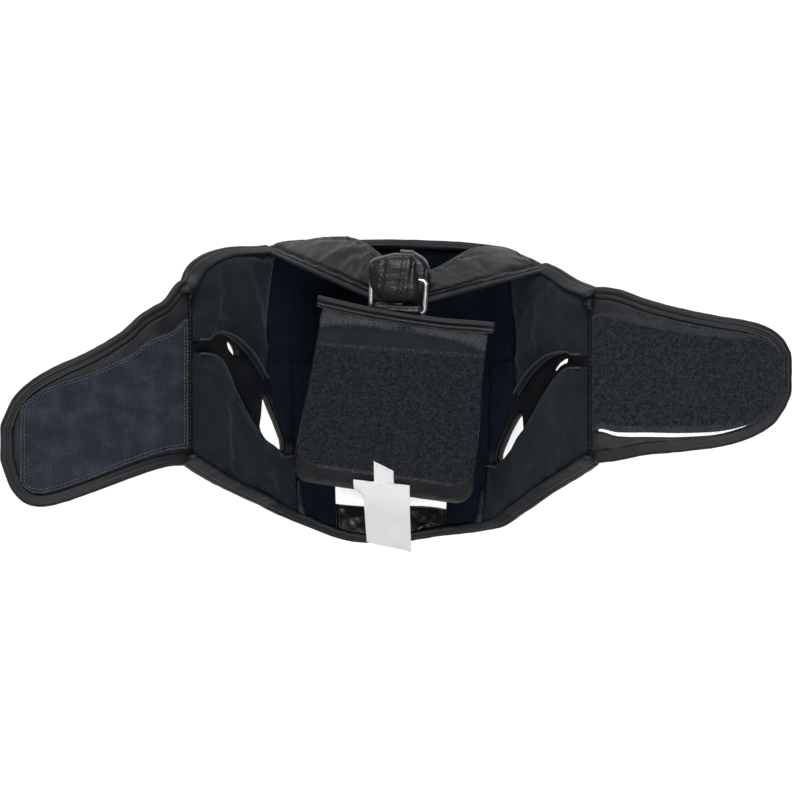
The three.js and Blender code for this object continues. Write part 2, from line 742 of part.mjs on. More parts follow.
// Leather sleeve that holds the ends of the bands and wraps the ring's top bar
function keeper() {
  const foot = RING_HEIGHT / 2 - KEEPER_DROP;
  const stations = spread(0, 1, 7);
  const loops = stations.map((share) => {
    const half = lerp(KEEPER_WIDTH.foot, KEEPER_WIDTH.head, smoothstep(share, 0.5, 1)) / 2;
    const deep = (KEEPER_THICKNESS / 2) * crown(share, 0.55);
    return spread(0, 12, 13).slice(0, 12).map((k) => {
      const angle = (2 * Math.PI * k) / 12;
      const x = half * Math.sign(Math.cos(angle)) * Math.abs(Math.cos(angle)) ** 0.5;
      const z = deep * Math.sign(Math.sin(angle)) * Math.abs(Math.sin(angle)) ** 0.5;
      return vec(x, foot + KEEPER_LENGTH * share, z);
    });
  });
  const bore = new THREE.CylinderGeometry(RING_WIRE / 2 + GAP, RING_WIRE / 2 + GAP, 2 * RING_WIDTH, 12);
  bore.rotateZ(Math.PI / 2);
  bore.translate(0, RING_HEIGHT / 2, 0);
  add("crown_keeper", cut(loft(loops), bore), LEATHER_LOOK, ringFrame);
}

// Strap with an eye round the ring's lower bar, and a tail behind the flap
function strap() {
  const eye = RING_WIRE / 2 + GAP;
  const outer = eye + STRAP_THICKNESS;
  const half = STRAP_THICKNESS / 2;
  const lift = Math.asin(half / outer);
  const outline = new THREE.Shape();
  outline.absarc(0, 0, outer, lift, 2 * Math.PI - lift);
  outline.lineTo(STRAP_LENGTH, -half);
  outline.lineTo(STRAP_LENGTH, half);
  const hole = new THREE.Path();
  hole.absarc(0, 0, eye, 0, 2 * Math.PI, true);
  outline.holes.push(hole);
  const options = { depth: STRAP_WIDTH, bevelEnabled: false, curveSegments: 8 };
  const geometry = new THREE.ExtrudeGeometry(outline, options);
  geometry.translate(0, 0, -STRAP_WIDTH / 2);
  geometry.applyMatrix4(new THREE.Matrix4().makeBasis(vec(0, -1, 0), vec(0, 0, -1), vec(1, 0, 0)));
  const mesh = add("adjusting_strap", geometry, LEATHER_LOOK, ringFrame);
  mesh.position.y = -RING_HEIGHT / 2;
}

// One of the two padded bands that rise from the front's top edge to the ring
function band(side) {
  const { lower, upper } = BAND_BASE[side];
  const base = (w) => {
    const u = signed(side, lerp(lower, upper, w));
    return place(u, top(u) + BAND_THICKNESS / 2 + 2 * GAP, 0);
  };
  const depth = -(KEEPER_THICKNESS + BAND_THICKNESS / 2) / 2;
  const end = (w) => {
    const y = RING_HEIGHT / 2 - BAND_CORD * 2 + BAND_END_WIDTH * (w - 0.35);
    return vec(signed(side, BAND_THICKNESS / 2), y, depth).applyMatrix4(ringFrame.matrixWorld);
  };
  const surface = (s, w) => {
    const [a, c] = [base(w), end(w)];
    const middle = a.clone().lerp(c, 0.5).add(vec(0, 2 * BAND_RISE * w, 0));
    return new THREE.QuadraticBezierCurve3(a, middle, c).getPoint(s);
  };
  const normal = (s, w) => {
    const along = surface(Math.min(s + 0.02, 1), w).sub(surface(Math.max(s - 0.02, 0), w));
    const across = surface(s, w + 0.05).sub(surface(s, w - 0.05));
    return across.cross(along).multiplyScalar(BENDS[side].sign).normalize();
  };
  const loops = spread(0, 1, 9).map((s) => {
    const half = (BAND_THICKNESS / 2) * crown(s, 0.6);
    const at = (w, turn) =>
      surface(s, w).addScaledVector(normal(s, w), turn * half * crown(w, 0.5));
    return [...spread(0, 1, 6).map((w) => at(w, 1)), ...spread(1, 0, 6).map((w) => at(w, -1))];
  });
  add(`${side}_crown_band`, loft(loops), LEATHER_LOOK);
  const cordLoops = spread(0, 1, 10).map((s) => {
    const edge = surface(s, 0);
    const out = edge.clone().sub(surface(s, 0.1)).normalize();
    const centre = edge.addScaledVector(out, BAND_CORD / 2 + GAP);
    const up = normal(s, 0);
    return spread(0, 6, 7).slice(0, 6).map((k) => {
      const angle = (2 * Math.PI * k) / 6;
      const [x, y] = [Math.cos(angle), Math.sin(angle)].map((a) => (BAND_CORD / 2) * a);
      return centre.clone().addScaledVector(out, x).addScaledVector(up, y);
    });
  });
  add(`${side}_band_cord`, loft(cordLoops), LEATHER_LOOK);
}

// Outline of the flap between two heights, inset by a margin
function flapOutline(from, to, margin, corner) {
  const half = (y) => lerp(FLAP_TOP_WIDTH, FLAP_BOTTOM_WIDTH, -y / FLAP_LENGTH) / 2 - margin;
  const shape = new THREE.Shape();
  shape.moveTo(half(from), from);
  shape.lineTo(-half(from), from);
  shape.lineTo(-half(to + corner), to + corner);
  shape.quadraticCurveTo(-half(to), to, -half(to) + corner, to);
  shape.lineTo(half(to) - corner, to);
  shape.quadraticCurveTo(half(to), to, half(to + corner), to + corner);
  return shape;
}

function flat(name, shape, z, depth, look, bevel = 0) {
  const options = {
    depth: depth - 2 * bevel,
    bevelEnabled: bevel > 0,
    bevelThickness: bevel,
    bevelSize: bevel,
    bevelOffset: -bevel,
    bevelSegments: 1,
    curveSegments: 5,
  };
  const geometry = new THREE.ExtrudeGeometry(shape, options);
  geometry.translate(0, 0, z + bevel);
  add(name, geometry, look, flapFrame);
}

function flap() {
  const front = FLAP_THICKNESS + GAP;
  flat("back_flap", flapOutline(0, -FLAP_LENGTH, 0, FLAP_CORNER), 0, FLAP_THICKNESS, LEATHER_LOOK, 2);
  const foot = FLAP_FOOT - FLAP_LENGTH;
  const patch = flapOutline(-FLAP_HEADER, foot, FLAP_PATCH_MARGIN, FLAP_CORNER);
  flat("flap_loop_patch", patch, front, TAPE, TAPE_LOOK);
  const webbing = flapOutline(-3, -3 - WEBBING_HEIGHT, FLAP_PATCH_MARGIN, 0.01);
  flat("flap_webbing", webbing, front, WEBBING_THICKNESS, TAPE_LOOK);
  const length = FLAP_TOP_WIDTH + 2 * FLAP_BAR_OVERHANG;
  const bar = new THREE.CapsuleGeometry(FLAP_BAR / 2, length - FLAP_BAR, 2, 8);
  bar.deleteAttribute("uv");
  bar.deleteAttribute("normal");
  bar.rotateZ(Math.PI / 2);
  bar.scale(1, 1, FLAP_BAR_THICKNESS / FLAP_BAR);
  bar.translate(0, FLAP_BAR / 2 + GAP, FLAP_THICKNESS - FLAP_BAR_THICKNESS / 2);
  add("flap_top_bar", mergeVertices(bar, 1e-4), LEATHER_LOOK, flapFrame);
}

// Folded care label, sewn on above the flap's foot and hanging straight down over the chin
function label() {
  const neck = LABEL_NECK_WIDTH / 2;
  const half = LABEL_WIDTH / 2;
  const foot = -LABEL_NECK_LENGTH;
  const end = foot - LABEL_LENGTH;
  const shape = new THREE.Shape();
  shape.moveTo(neck, 0);
  shape.lineTo(-neck, 0);
  shape.lineTo(-neck, foot);
  shape.lineTo(-half, foot);
  shape.lineTo(-half, end + LABEL_LENGTH / 4);
  shape.lineTo(half, end);
  shape.lineTo(half, foot);
  shape.lineTo(neck, foot);
  const options = { depth: LABEL_THICKNESS, bevelEnabled: false };
  const mesh = add("care_label", new THREE.ExtrudeGeometry(shape, options), LABEL_LOOK, flapFrame);
  mesh.position.set(LABEL_SHIFT.x, LABEL_SHIFT.y, FLAP_THICKNESS + TAPE + 2 * GAP);
  mesh.rotation.z = degToRad(-FLAP_TURN);
}

forehead();
chin();
rim();
for (const side of ["left", "right"]) {
  cheek(side);
  sideWall(side);
  tabs(side);
  band(side);
}
hookTape();
loopPanel();
ring();
keeper();
strap();
flap();
label();

// The origin is under the middle of the whole, on the ground.
const box = new THREE.Box3().setFromObject(group, true);
const middle = box.getCenter(vec(0, 0));
group.position.set(-middle.x, -middle.y, -box.min.z);
group.updateMatrixWorld(true);

export default group;
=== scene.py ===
import math

import bpy
import numpy as np
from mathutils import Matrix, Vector
from mathutils.geometry import delaunay_2d_cdt


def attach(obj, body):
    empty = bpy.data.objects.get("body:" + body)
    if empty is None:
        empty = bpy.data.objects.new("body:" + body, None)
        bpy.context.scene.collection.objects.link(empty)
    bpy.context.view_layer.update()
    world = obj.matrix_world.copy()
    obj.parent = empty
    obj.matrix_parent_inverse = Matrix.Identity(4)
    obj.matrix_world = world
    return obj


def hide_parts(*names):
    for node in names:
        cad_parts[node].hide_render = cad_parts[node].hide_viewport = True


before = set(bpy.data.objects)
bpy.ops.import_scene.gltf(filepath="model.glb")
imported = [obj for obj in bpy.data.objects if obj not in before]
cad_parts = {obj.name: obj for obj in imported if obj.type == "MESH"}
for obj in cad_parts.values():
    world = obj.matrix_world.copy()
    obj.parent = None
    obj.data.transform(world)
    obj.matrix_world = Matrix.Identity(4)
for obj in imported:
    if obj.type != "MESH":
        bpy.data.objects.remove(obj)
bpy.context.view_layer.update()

# The wall of the headgear, in millimetres. u runs round the head from the middle of the front,
# positive to the right, v runs up to the crown, and t runs outwards from the lining.
SHIFT = np.array([-6.668, 8.658, 0.823])  # from these places to the frame's
FRONT_ARC, SIDE_LENGTH = 130.0, 89.0
ROOT = FRONT_ARC + SIDE_LENGTH
WING_LENGTH = {"left": 130.0, "right": 138.0}
FACE_HALF_WIDTH, FRONT_PAD_END, TEMPLE_START, JAW_START = 50.0, 92.0, 118.0, 90.0
LINING_END = ROOT - 7
CROWN_HEIGHT, CHIN_DEPTH, BROW_HEIGHT, MOUTH_DEPTH = 118.0, 128.0, 22.0, 98.0
EAR_START, EAR_LENGTH, EAR_SLIT = 95.0, 106.0, 9.0
EAR_BASE = {"left": -60.0, "right": -68.0}
EAR_HEIGHT = {"left": 102.0, "right": 94.0}
FOREHEAD_PAD, CHEEK_PAD, CHIN_PAD, CHIN_LINING, SIDE_PANEL = 24.0, 33.0, 20.0, 6.0, 8.0
FRONT_LINING, TEMPLE_LINING, JAW_LINING, WING_PANEL = 9.0, 12.0, 12.0, 5.0
RIM_BINDING, WING_BINDING, EAR_BINDING = 9.0, 10.0, 4.0
GAP, LAYER = 0.35, 0.4
CROWN_LEAN, CHIN_LEAN, ROOT_CURVE = 26.0, 22.0, 8.0
SIGN = {"left": -1, "right": 1}
BENDS = {"left": (62, 37, 4), "right": (62, 24, 4)}
TOP_EDGE = {
    "left": [(0, 1), (0.4, 0.99), (0.62, 0.925), (0.8, 0.875), (0.93, 0.77), (1, 0.64)],
    "right": [(0, 1), (0.3, 0.985), (0.52, 0.925), (0.75, 0.77), (0.88, 0.65), (1, 0.575)],
}
BOTTOM_EDGE = {
    "left": [(0, 1), (0.18, 0.975), (0.37, 0.87), (0.62, 0.71), (0.82, 0.565), (1, 0.42)],
    "right": [(0, 1), (0.18, 0.95), (0.4, 0.905), (0.54, 0.845), (0.78, 0.605), (1, 0.425)],
}
EAR_ALONG = [0, 0.05, 0.17, 0.36, 0.62, 0.8, 0.93, 1]
EAR_UPPER = [0.13, 0.28, 0.57, 0.8, 0.96, 1, 1, 0.97]
EAR_LOWER = {
    "left": [0.01, 0, 0.08, 0.2, 0.5, 0.76, 0.85, 0.87],
    "right": [0.01, 0, 0.09, 0.3, 0.62, 0.8, 0.87, 0.88],
}
EAR_HOLE = {
    "left": [
        (0, 0.13), (0.04, 0.265), (0.095, 0.4), (0.15, 0.52), (0.2, 0.56), (0.23, 0.51),
        (0.255, 0.37), (0.28, 0.235), (0.225, 0.135), (0.12, 0.06), (0.05, 0.015), (0.005, 0.04),
    ],
    "right": [
        (0.01, 0.106), (0.047, 0.234), (0.104, 0.372), (0.16, 0.468), (0.217, 0.51), (0.264, 0.489),
        (0.292, 0.383), (0.302, 0.245), (0.245, 0.138), (0.151, 0.053), (0.057, 0.011), (0.014, 0.043),
    ],
}
EAR_VENT = {
    "left": [
        (0.52, 0.843), (0.557, 0.912), (0.613, 0.951), (0.67, 0.951), (0.66, 0.892), (0.604, 0.843),
        (0.557, 0.814),
    ],
    "right": [
        (0.613, 0.84), (0.66, 0.904), (0.726, 0.947), (0.8, 0.968), (0.85, 0.957), (0.84, 0.915),
        (0.764, 0.894), (0.698, 0.851),
    ],
}
WING_ALONG = {
    "left": [0, 0.12, 0.24, 0.36, 0.56, 0.75, 0.88, 0.95, 1],
    "right": [0, 0.12, 0.28, 0.48, 0.68, 0.82, 0.92, 0.97, 1],
}
WING_UPPER = {
    "left": [0.56, 0.46, 0.37, 0.24, 0.1, 0.01, -0.07, -0.15, -0.27],
    "right": [0.57, 0.55, 0.48, 0.41, 0.36, 0.33, 0.29, 0.24, 0.18],
}
WING_LOWER = {
    "left": [-0.415, -0.433, -0.47, -0.516, -0.59, -0.645, -0.645, -0.572, -0.424],
    "right": [-0.406, -0.387, -0.35, -0.327, -0.295, -0.249, -0.184, -0.111, -0.037],
}


def smoothstep(x, a, b):
    s = np.clip((x - a) / (b - a), 0, 1)
    return s * s * (3 - 2 * s)


def lerp(a, b, s):
    return a + (b - a) * s


def column(keys, values, x):
    """Smooth curve through a column of a table."""
    keys, values = np.array(keys, float), np.array(values, float)
    last = len(keys) - 1
    x = np.clip(x, keys[0], keys[last])
    i = np.clip(np.searchsorted(keys, x) - 1, 0, last - 1)
    before, after = np.maximum(np.arange(last + 1) - 1, 0), np.minimum(np.arange(last + 1) + 1, last)
    slope = (values[after] - values[before]) / (keys[after] - keys[before])
    step = keys[i + 1] - keys[i]
    s = (x - keys[i]) / step
    rise = lerp(values[i], values[i + 1], s * s * (3 - 2 * s))
    return rise + slope[i] * step * s * (1 - s) ** 2 + slope[i + 1] * step * s * s * (s - 1)


def edge_of(table, scale, u):
    u = np.asarray(u, float)
    shares = [np.array(table[side]) for side in ("left", "right")]
    left, right = (column(t[:, 0], t[:, 1], np.abs(u) / ROOT) for t in shares)
    return scale * np.where(u < 0, left, right)


def top(u):
    return edge_of(TOP_EDGE, CROWN_HEIGHT, u)


def bottom(u):
    return edge_of(BOTTOM_EDGE, -CHIN_DEPTH, u)


def ear_edge(upper, u):
    share = (np.abs(u) - EAR_START) / EAR_LENGTH
    edges = []
    for side in ("left", "right"):
        values = EAR_UPPER if upper else EAR_LOWER[side]
        edges.append(EAR_BASE[side] + EAR_HEIGHT[side] * column(EAR_ALONG, values, share))
    return np.where(np.asarray(u) < 0, *edges)


def drooped(u):
    """How far the left slot's rear end hangs below the leather's slot."""
    return 4.0 * smoothstep(-np.asarray(u, float), ROOT - 36, ROOT - 18)


def temple_foot(u):
    middle = (ear_edge(True, u) + ear_edge(False, u)) / 2
    return np.maximum(ear_edge(True, u), middle + EAR_SLIT / 2) - drooped(u)


def jaw_head(u):
    middle = (ear_edge(True, u) + ear_edge(False, u)) / 2
    return np.minimum(ear_edge(False, u), middle - EAR_SLIT / 2) - 0.8 * drooped(u)


def wing_edge(side, values, u):
    share = (np.abs(u) - ROOT) / WING_LENGTH[side]
    reach = CROWN_HEIGHT if values is WING_UPPER else CHIN_DEPTH
    full = 0 * u
    if side == "left":
        full = 4.5 * np.sin(np.pi * np.clip(share, 0, 1))
        if values is WING_UPPER:
            full = full + 8 * np.exp(-(((np.abs(u) - ROOT) / 9) ** 2))
    return reach * column(WING_ALONG[side], values[side], share) + full


def bend(side, u):
    steep, root, tip = BENDS[side]
    front = np.radians(steep) * (np.minimum(u, FRONT_ARC) / FRONT_ARC) ** 2
    wing = lerp(root, tip, np.clip((u - ROOT) / WING_LENGTH[side], 0, 1))
    rear = np.radians(lerp(steep, wing, smoothstep(u, ROOT - ROOT_CURVE, ROOT + ROOT_CURVE)))
    return np.where(u < FRONT_ARC, front, rear)


def plan(side):
    ends = np.arange(0, ROOT + WING_LENGTH[side] + 2 * WING_BINDING)
    angle = bend(side, ends + 0.5)
    x = np.concatenate([[0], np.cumsum(SIGN[side] * np.cos(angle))])
    z = np.concatenate([[0], np.cumsum(np.sin(angle))]) + FOREHEAD_PAD
    return np.arange(len(x)), x, z


PLANS = {side: plan(side) for side in SIGN}


def lean(u, v):
    round_ = smoothstep(u, FRONT_ARC, ROOT)
    high = np.maximum(v - BROW_HEIGHT, 0) / (CROWN_HEIGHT - BROW_HEIGHT)
    low = np.maximum(-v, 0) / CHIN_DEPTH
    crown = lerp(CROWN_LEAN, CROWN_LEAN / 2, smoothstep(u, 0, FRONT_ARC))
    return (1 - round_) * (crown * high**2 + CHIN_LEAN * low**2)


def place(u, v, t):
    """Points in space of places on the wall."""
    u, v, t = (a.astype(float) for a in np.broadcast_arrays(u, v, t))
    out = np.zeros(u.shape + (3,))
    for side, sign in SIGN.items():
        here = (u < 0) if sign < 0 else (u >= 0)
        length = np.abs(u[here])
        steps, x, z = PLANS[side]
        angle = bend(side, length)
        off = t[here] - lean(length, v[here])
        px = np.interp(length, steps, x) + sign * np.sin(angle) * off
        pz = np.interp(length, steps, z) - np.cos(angle) * off
        out[here] = np.stack([px, v[here], pz], -1)
    return out


def unit(a):
    return a / np.maximum(np.linalg.norm(a, axis=-1, keepdims=True), 1e-9)


# Smooth noise, the same at each run
def noise(points, size, seed):
    """Values from about -1 to 1 that change over a length of size, at points of 2 or 3 numbers."""
    points = np.asarray(points, float) / size
    if points.shape[-1] == 2:
        points = np.concatenate([points, np.full(points.shape[:-1] + (1,), 0.37)], -1)
    rows = np.random.default_rng(seed).normal(size=(2048, 3))
    rows = unit(rows)
    base = np.floor(points).astype(np.int64)
    part = points - base
    ease = part**3 * (part * (part * 6 - 15) + 10)
    total = np.zeros(points.shape[:-1])
    for corner in np.ndindex(2, 2, 2):
        c = np.array(corner)
        k = base + c
        key = (k[..., 0] * 73856093 ^ k[..., 1] * 19349663 ^ k[..., 2] * 83492791) % 2048
        weight = np.prod(np.where(c == 1, ease, 1 - ease), -1)
        total += weight * np.sum(rows[key] * (part - c), -1)
    return total * 1.5


def layered(points, size, seed, layers=3):
    return sum(noise(points, size / 2**k, seed + k) / 1.8**k for k in range(layers))


# Materials
def node(tree, kind, inputs=(), **settings):
    made = tree.nodes.new(kind)
    for key, value in settings.items():
        setattr(made, key, value)
    for key, value in dict(inputs).items():
        if isinstance(value, bpy.types.NodeSocket):
            tree.links.new(value, made.inputs[key])
        else:
            made.inputs[key].default_value = value
    return made


def start(name, **shader):
    mat = bpy.data.materials.new(name)
    mat.use_nodes = True
    tree = mat.node_tree
    bsdf = tree.nodes["Principled BSDF"]
    for key, value in shader.items():
        bsdf.inputs[key.replace("_", " ")].default_value = value
    return mat, tree, bsdf


def place_of(tree, uv=False, scale=(1, 1, 1)):
    coords = node(tree, "ShaderNodeTexCoord")
    out = coords.outputs["UV" if uv else "Object"]
    return node(tree, "ShaderNodeMapping", {"Vector": out, "Scale": scale}).outputs[0]


def grain(tree, where, scale, detail=2.0, rough=0.5):
    made = node(
        tree, "ShaderNodeTexNoise", {"Vector": where, "Scale": scale, "Detail": detail, "Roughness": rough}
    )
    return made.outputs["Fac"]


def cells(tree, where, scale, feature="F1", out="Distance", random=1.0):
    made = node(
        tree, "ShaderNodeTexVoronoi", {"Vector": where, "Scale": scale, "Randomness": random},
        feature=feature
    )
    return made.outputs[out]


def between(tree, value, low, high, a, b):
    made = node(
        tree, "ShaderNodeMapRange",
        {"Value": value, "From Min": low, "From Max": high, "To Min": a, "To Max": b}
    )
    return made.outputs["Result"]


def blend_colour(tree, value, dark, light):
    made = node(tree, "ShaderNodeMix", data_type="RGBA")
    tree.links.new(value, made.inputs[0])
    made.inputs[6].default_value = (*dark, 1)
    made.inputs[7].default_value = (*light, 1)
    return made.outputs[2]


def bumps(tree, *layers):
    """Chain of bumps, each a height and its depth in metres."""
    normal = None
    for height, depth in layers:
        inputs = {"Height": height, "Distance": depth, "Strength": 1.0}
        if normal is not None:
            inputs["Normal"] = normal
        normal = node(tree, "ShaderNodeBump", inputs).outputs[0]
    return normal


def leather(name, dark, light, rough, creases=0.0006, fine=0.00010, coat=0.0):
    mat, tree, bsdf = start(name, Specular_IOR_Level=0.32, Coat_Weight=coat, Coat_Roughness=0.25)
    where = place_of(tree)
    pebbles = cells(tree, where, 850, "SMOOTH_F1")
    folds = grain(tree, place_of(tree, scale=(1, 1.5, 1.2)), 95, 3)
    patches = grain(tree, where, 34, 3)
    tree.links.new(
        blend_colour(tree, between(tree, patches, 0.32, 0.7, 0, 1), dark, light), bsdf.inputs["Base Color"]
    )
    mixed = node(
        tree, "ShaderNodeMath", {0: patches, 1: between(tree, pebbles, 0, 0.8, -0.12, 0.16)},
        operation="ADD"
    )
    tree.links.new(between(tree, mixed.outputs[0], 0.25, 0.85, rough[0], rough[1]), bsdf.inputs["Roughness"])
    normal = bumps(tree, (folds, creases), (pebbles, fine), (grain(tree, where, 2600, 1), fine * 0.3))
    tree.links.new(normal, bsdf.inputs["Normal"])
    return mat


def velour(name, dark, light, sheen):
    mat, tree, bsdf = start(
        name, Roughness=0.95, Specular_IOR_Level=0.15, Sheen_Weight=sheen, Sheen_Roughness=0.45
    )
    bsdf.inputs["Sheen Tint"].default_value = (0.75, 0.85, 1.0, 1)
    where = place_of(tree)
    nap = grain(tree, where, 60, 4, 0.6)
    fibre = grain(tree, where, 1700, 2)
    tree.links.new(
        blend_colour(tree, between(tree, nap, 0.3, 0.7, 0, 1), dark, light), bsdf.inputs["Base Color"]
    )
    tree.links.new(
        bumps(tree, (grain(tree, where, 240, 3), 0.00035), (fibre, 0.00016)), bsdf.inputs["Normal"]
    )
    return mat


def woven(name, dark, light, pitch, depth=0.0003, sheen=0.1, slant=0.0):
    """Rows of fine threads along and across the cloth, from its UV in metres."""
    mat, tree, bsdf = start(
        name, Roughness=0.75, Specular_IOR_Level=0.3, Sheen_Weight=sheen, Sheen_Roughness=0.4
    )
    flat = place_of(tree, uv=True)
    turned = node(tree, "ShaderNodeMapping", {"Vector": flat, "Rotation": (0, 0, slant)}).outputs[0]
    wobble = grain(tree, flat, 70, 2)

    def rows(direction, step, phase):
        made = node(
            tree, "ShaderNodeTexWave",
            {
                "Vector": turned, "Scale": 0.314 / step, "Distortion": 1.2, "Detail": 1.0,
                "Detail Scale": 1.5, "Phase Offset": phase
            },
            bands_direction=direction
        )
        return made.outputs["Fac"]

    across, along = rows("X", pitch[0], 0.0), rows("Y", pitch[1], 1.3)
    knots = node(tree, "ShaderNodeMath", {0: across, 1: along}, operation="MULTIPLY").outputs[0]
    shade = node(
        tree, "ShaderNodeMath", {0: knots, 1: between(tree, wobble, 0.3, 0.7, -0.25, 0.35)}, operation="ADD"
    )
    tree.links.new(
        blend_colour(tree, between(tree, shade.outputs[0], 0, 1, 0, 1), dark, light),
        bsdf.inputs["Base Color"]
    )
    tree.links.new(bumps(tree, (wobble, 0.0006), (knots, depth)), bsdf.inputs["Normal"])
    return mat


def pile(name, dark, light, sheen):
    mat, tree, bsdf = start(
        name, Roughness=0.9, Specular_IOR_Level=0.25, Sheen_Weight=sheen, Sheen_Roughness=0.35
    )
    bsdf.inputs["Sheen Tint"].default_value = (0.85, 0.9, 1.0, 1)
    where = place_of(tree)
    tufts = cells(tree, where, 620)
    clumps = grain(tree, where, 300, 4, 0.65)
    both = node(
        tree, "ShaderNodeMath", {0: clumps, 1: between(tree, tufts, 0, 0.9, 0.22, -0.22)}, operation="ADD"
    ).outputs[0]
    tree.links.new(
        blend_colour(tree, between(tree, both, 0.36, 0.68, 0, 1), dark, light), bsdf.inputs["Base Color"]
    )
    tree.links.new(bumps(tree, (clumps, 0.0012), (tufts, 0.0005)), bsdf.inputs["Normal"])
    return mat


def threads(name, dark, light, rough=0.6):
    mat, tree, bsdf = start(name, Roughness=rough, Specular_IOR_Level=0.35, Sheen_Weight=0.15)
    where = place_of(tree)
    twist = grain(tree, where, 900, 2)
    tree.links.new(
        blend_colour(tree, between(tree, twist, 0.35, 0.65, 0, 1), dark, light), bsdf.inputs["Base Color"]
    )
    tree.links.new(bumps(tree, (grain(tree, where, 3000, 1), 0.00008)), bsdf.inputs["Normal"])
    return mat


def plated(name):
    mat, tree, bsdf = start(name, Metallic=1.0)
    where = place_of(tree)
    wear = grain(tree, where, 160, 4, 0.6)
    tree.links.new(
        blend_colour(tree, between(tree, wear, 0.3, 0.72, 0, 1), (0.78, 0.78, 0.77), (0.95, 0.95, 0.93)),
        bsdf.inputs["Base Color"]
    )
    tree.links.new(between(tree, wear, 0.3, 0.75, 0.26, 0.42), bsdf.inputs["Roughness"])
    tree.links.new(bumps(tree, (grain(tree, where, 420, 3), 0.00004)), bsdf.inputs["Normal"])
    return mat


def satin(name):
    mat, tree, bsdf = start(name, Roughness=0.62, Specular_IOR_Level=0.3, Sheen_Weight=0.1)
    where = place_of(tree, uv=True)
    soft = grain(tree, where, 60, 3)
    tree.links.new(
        blend_colour(tree, between(tree, soft, 0.3, 0.7, 0, 1), (0.90, 0.91, 0.92), (0.96, 0.96, 0.96)),
        bsdf.inputs["Base Color"]
    )
    warp = node(
        tree, "ShaderNodeTexWave", {"Vector": where, "Scale": 900.0, "Distortion": 0.6}, bands_direction="X"
    ).outputs["Fac"]
    weft = node(
        tree, "ShaderNodeTexWave", {"Vector": where, "Scale": 700.0, "Distortion": 0.6}, bands_direction="Y"
    ).outputs["Fac"]
    tree.links.new(bumps(tree, (soft, 0.0006), (warp, 0.00005), (weft, 0.00004)), bsdf.inputs["Normal"])
    return mat


LEATHER = leather("leather_grain", (0.0050, 0.0062, 0.0080), (0.0100, 0.0120, 0.0148), (0.42, 0.64))
GLOSSY = leather(
    "leather_glossy", (0.0058, 0.0070, 0.0088), (0.0110, 0.0130, 0.0155), (0.26, 0.46), creases=0.0010,
    coat=0.15
)
# Lighter copy of leather_grain for the crown bands and the right wing's hem: painted light, for the light
# that falls on the bands that face up.
PAINTED_LIGHT_LEATHER = leather(
    "leather_painted_light", (0.0105, 0.0125, 0.0145), (0.0210, 0.0238, 0.0262), (0.42, 0.60), creases=0.0010,
    fine=0.00014
)
PIPING = leather(
    "leather_piping", (0.0050, 0.0062, 0.0080), (0.0105, 0.0124, 0.0152), (0.40, 0.60), creases=0.0005,
    fine=0.00007
)
LINING = velour("lining_velour", (0.0085, 0.0122, 0.0160), (0.0145, 0.0195, 0.0245), 0.10)
# Darker copy of lining_velour for the forehead and cheek linings deep in the bowl: painted shade where little
# light reaches.
SHADED_LINING = velour("lining_velour_painted_shade", (0.0020, 0.0040, 0.0090), (0.0036, 0.0066, 0.0140), 0.02)
HEADER = velour("flap_cloth", (0.015, 0.019, 0.0235), (0.021, 0.026, 0.031), 0.08)
HOOK = woven(
    "hook_weave", (0.0055, 0.0080, 0.0130), (0.040, 0.052, 0.076), (0.0017, 0.0012), 0.00035, 0.12, 0.06
)
LOOP = pile("loop_pile", (0.0038, 0.0050, 0.0080), (0.024, 0.029, 0.041), 0.12)
FRAY = threads("frayed_threads", (0.030, 0.033, 0.038), (0.11, 0.115, 0.125))
FIBRE = threads("pile_fibres", (0.009, 0.011, 0.016), (0.046, 0.055, 0.072), 0.7)
EDGE = threads("edge_cloth", (0.020, 0.025, 0.031), (0.036, 0.043, 0.052))
THREAD = threads("sewing_thread", (0.010, 0.011, 0.013), (0.040, 0.042, 0.047), 0.5)
WEBBING = woven("webbing_weave", (0.010, 0.011, 0.013), (0.055, 0.058, 0.064), (0.0014, 0.0018), 0.0003)
SELVEDGE = woven("selvedge_weave", (0.014, 0.017, 0.022), (0.040, 0.046, 0.056), (0.0008, 0.0011), 0.00015)
STEEL = plated("ring_plated")
LABEL = satin("label_satin")


# Meshes
def to_frame(points):
    return (np.asarray(points, float) + SHIFT) / 1000


def piece(name, points, faces, look, uvs=None, nodes=(), closed=True):
    """Piece of the object from points in millimetres. A closed one is turned so that it faces outwards."""
    points = to_frame(np.asarray(points).reshape(-1, 3))
    points[:, 2] = np.maximum(points[:, 2], 0)
    faces = [list(map(int, f)) for f in faces]
    if closed:
        first = np.array([f[:3] for f in faces])
        a, b, c = (points[first[:, k]] for k in range(3))
        volume = np.sum(a * np.cross(b, c))
        fours = np.array([f for f in faces if len(f) == 4]).reshape(-1, 4)
        a, b, c = (points[fours[:, k]] for k in (0, 2, 3))
        volume += np.sum(a * np.cross(b, c))
        if volume < 0:
            faces = [f[::-1] for f in faces]
    mesh = bpy.data.meshes.new(name)
    mesh.from_pydata(points.tolist(), [], faces)
    if uvs is not None:
        spread = np.asarray(uvs, float).reshape(-1, 2) / 1000
        loops = np.zeros(len(mesh.loops), dtype=np.int32)
        mesh.loops.foreach_get("vertex_index", loops)
        layer = mesh.uv_layers.new(name="UVMap")
        layer.data.foreach_set("uv", spread[loops].astype(np.float32).ravel())
    mesh.polygons.foreach_set("use_smooth", [True] * len(mesh.polygons))
    mesh.materials.append(look)
    mesh.update()
    obj = bpy.data.objects.new(name, mesh)
    bpy.context.scene.collection.objects.link(obj)
    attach(obj, "root")
    if nodes:
        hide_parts(*nodes)
    return obj


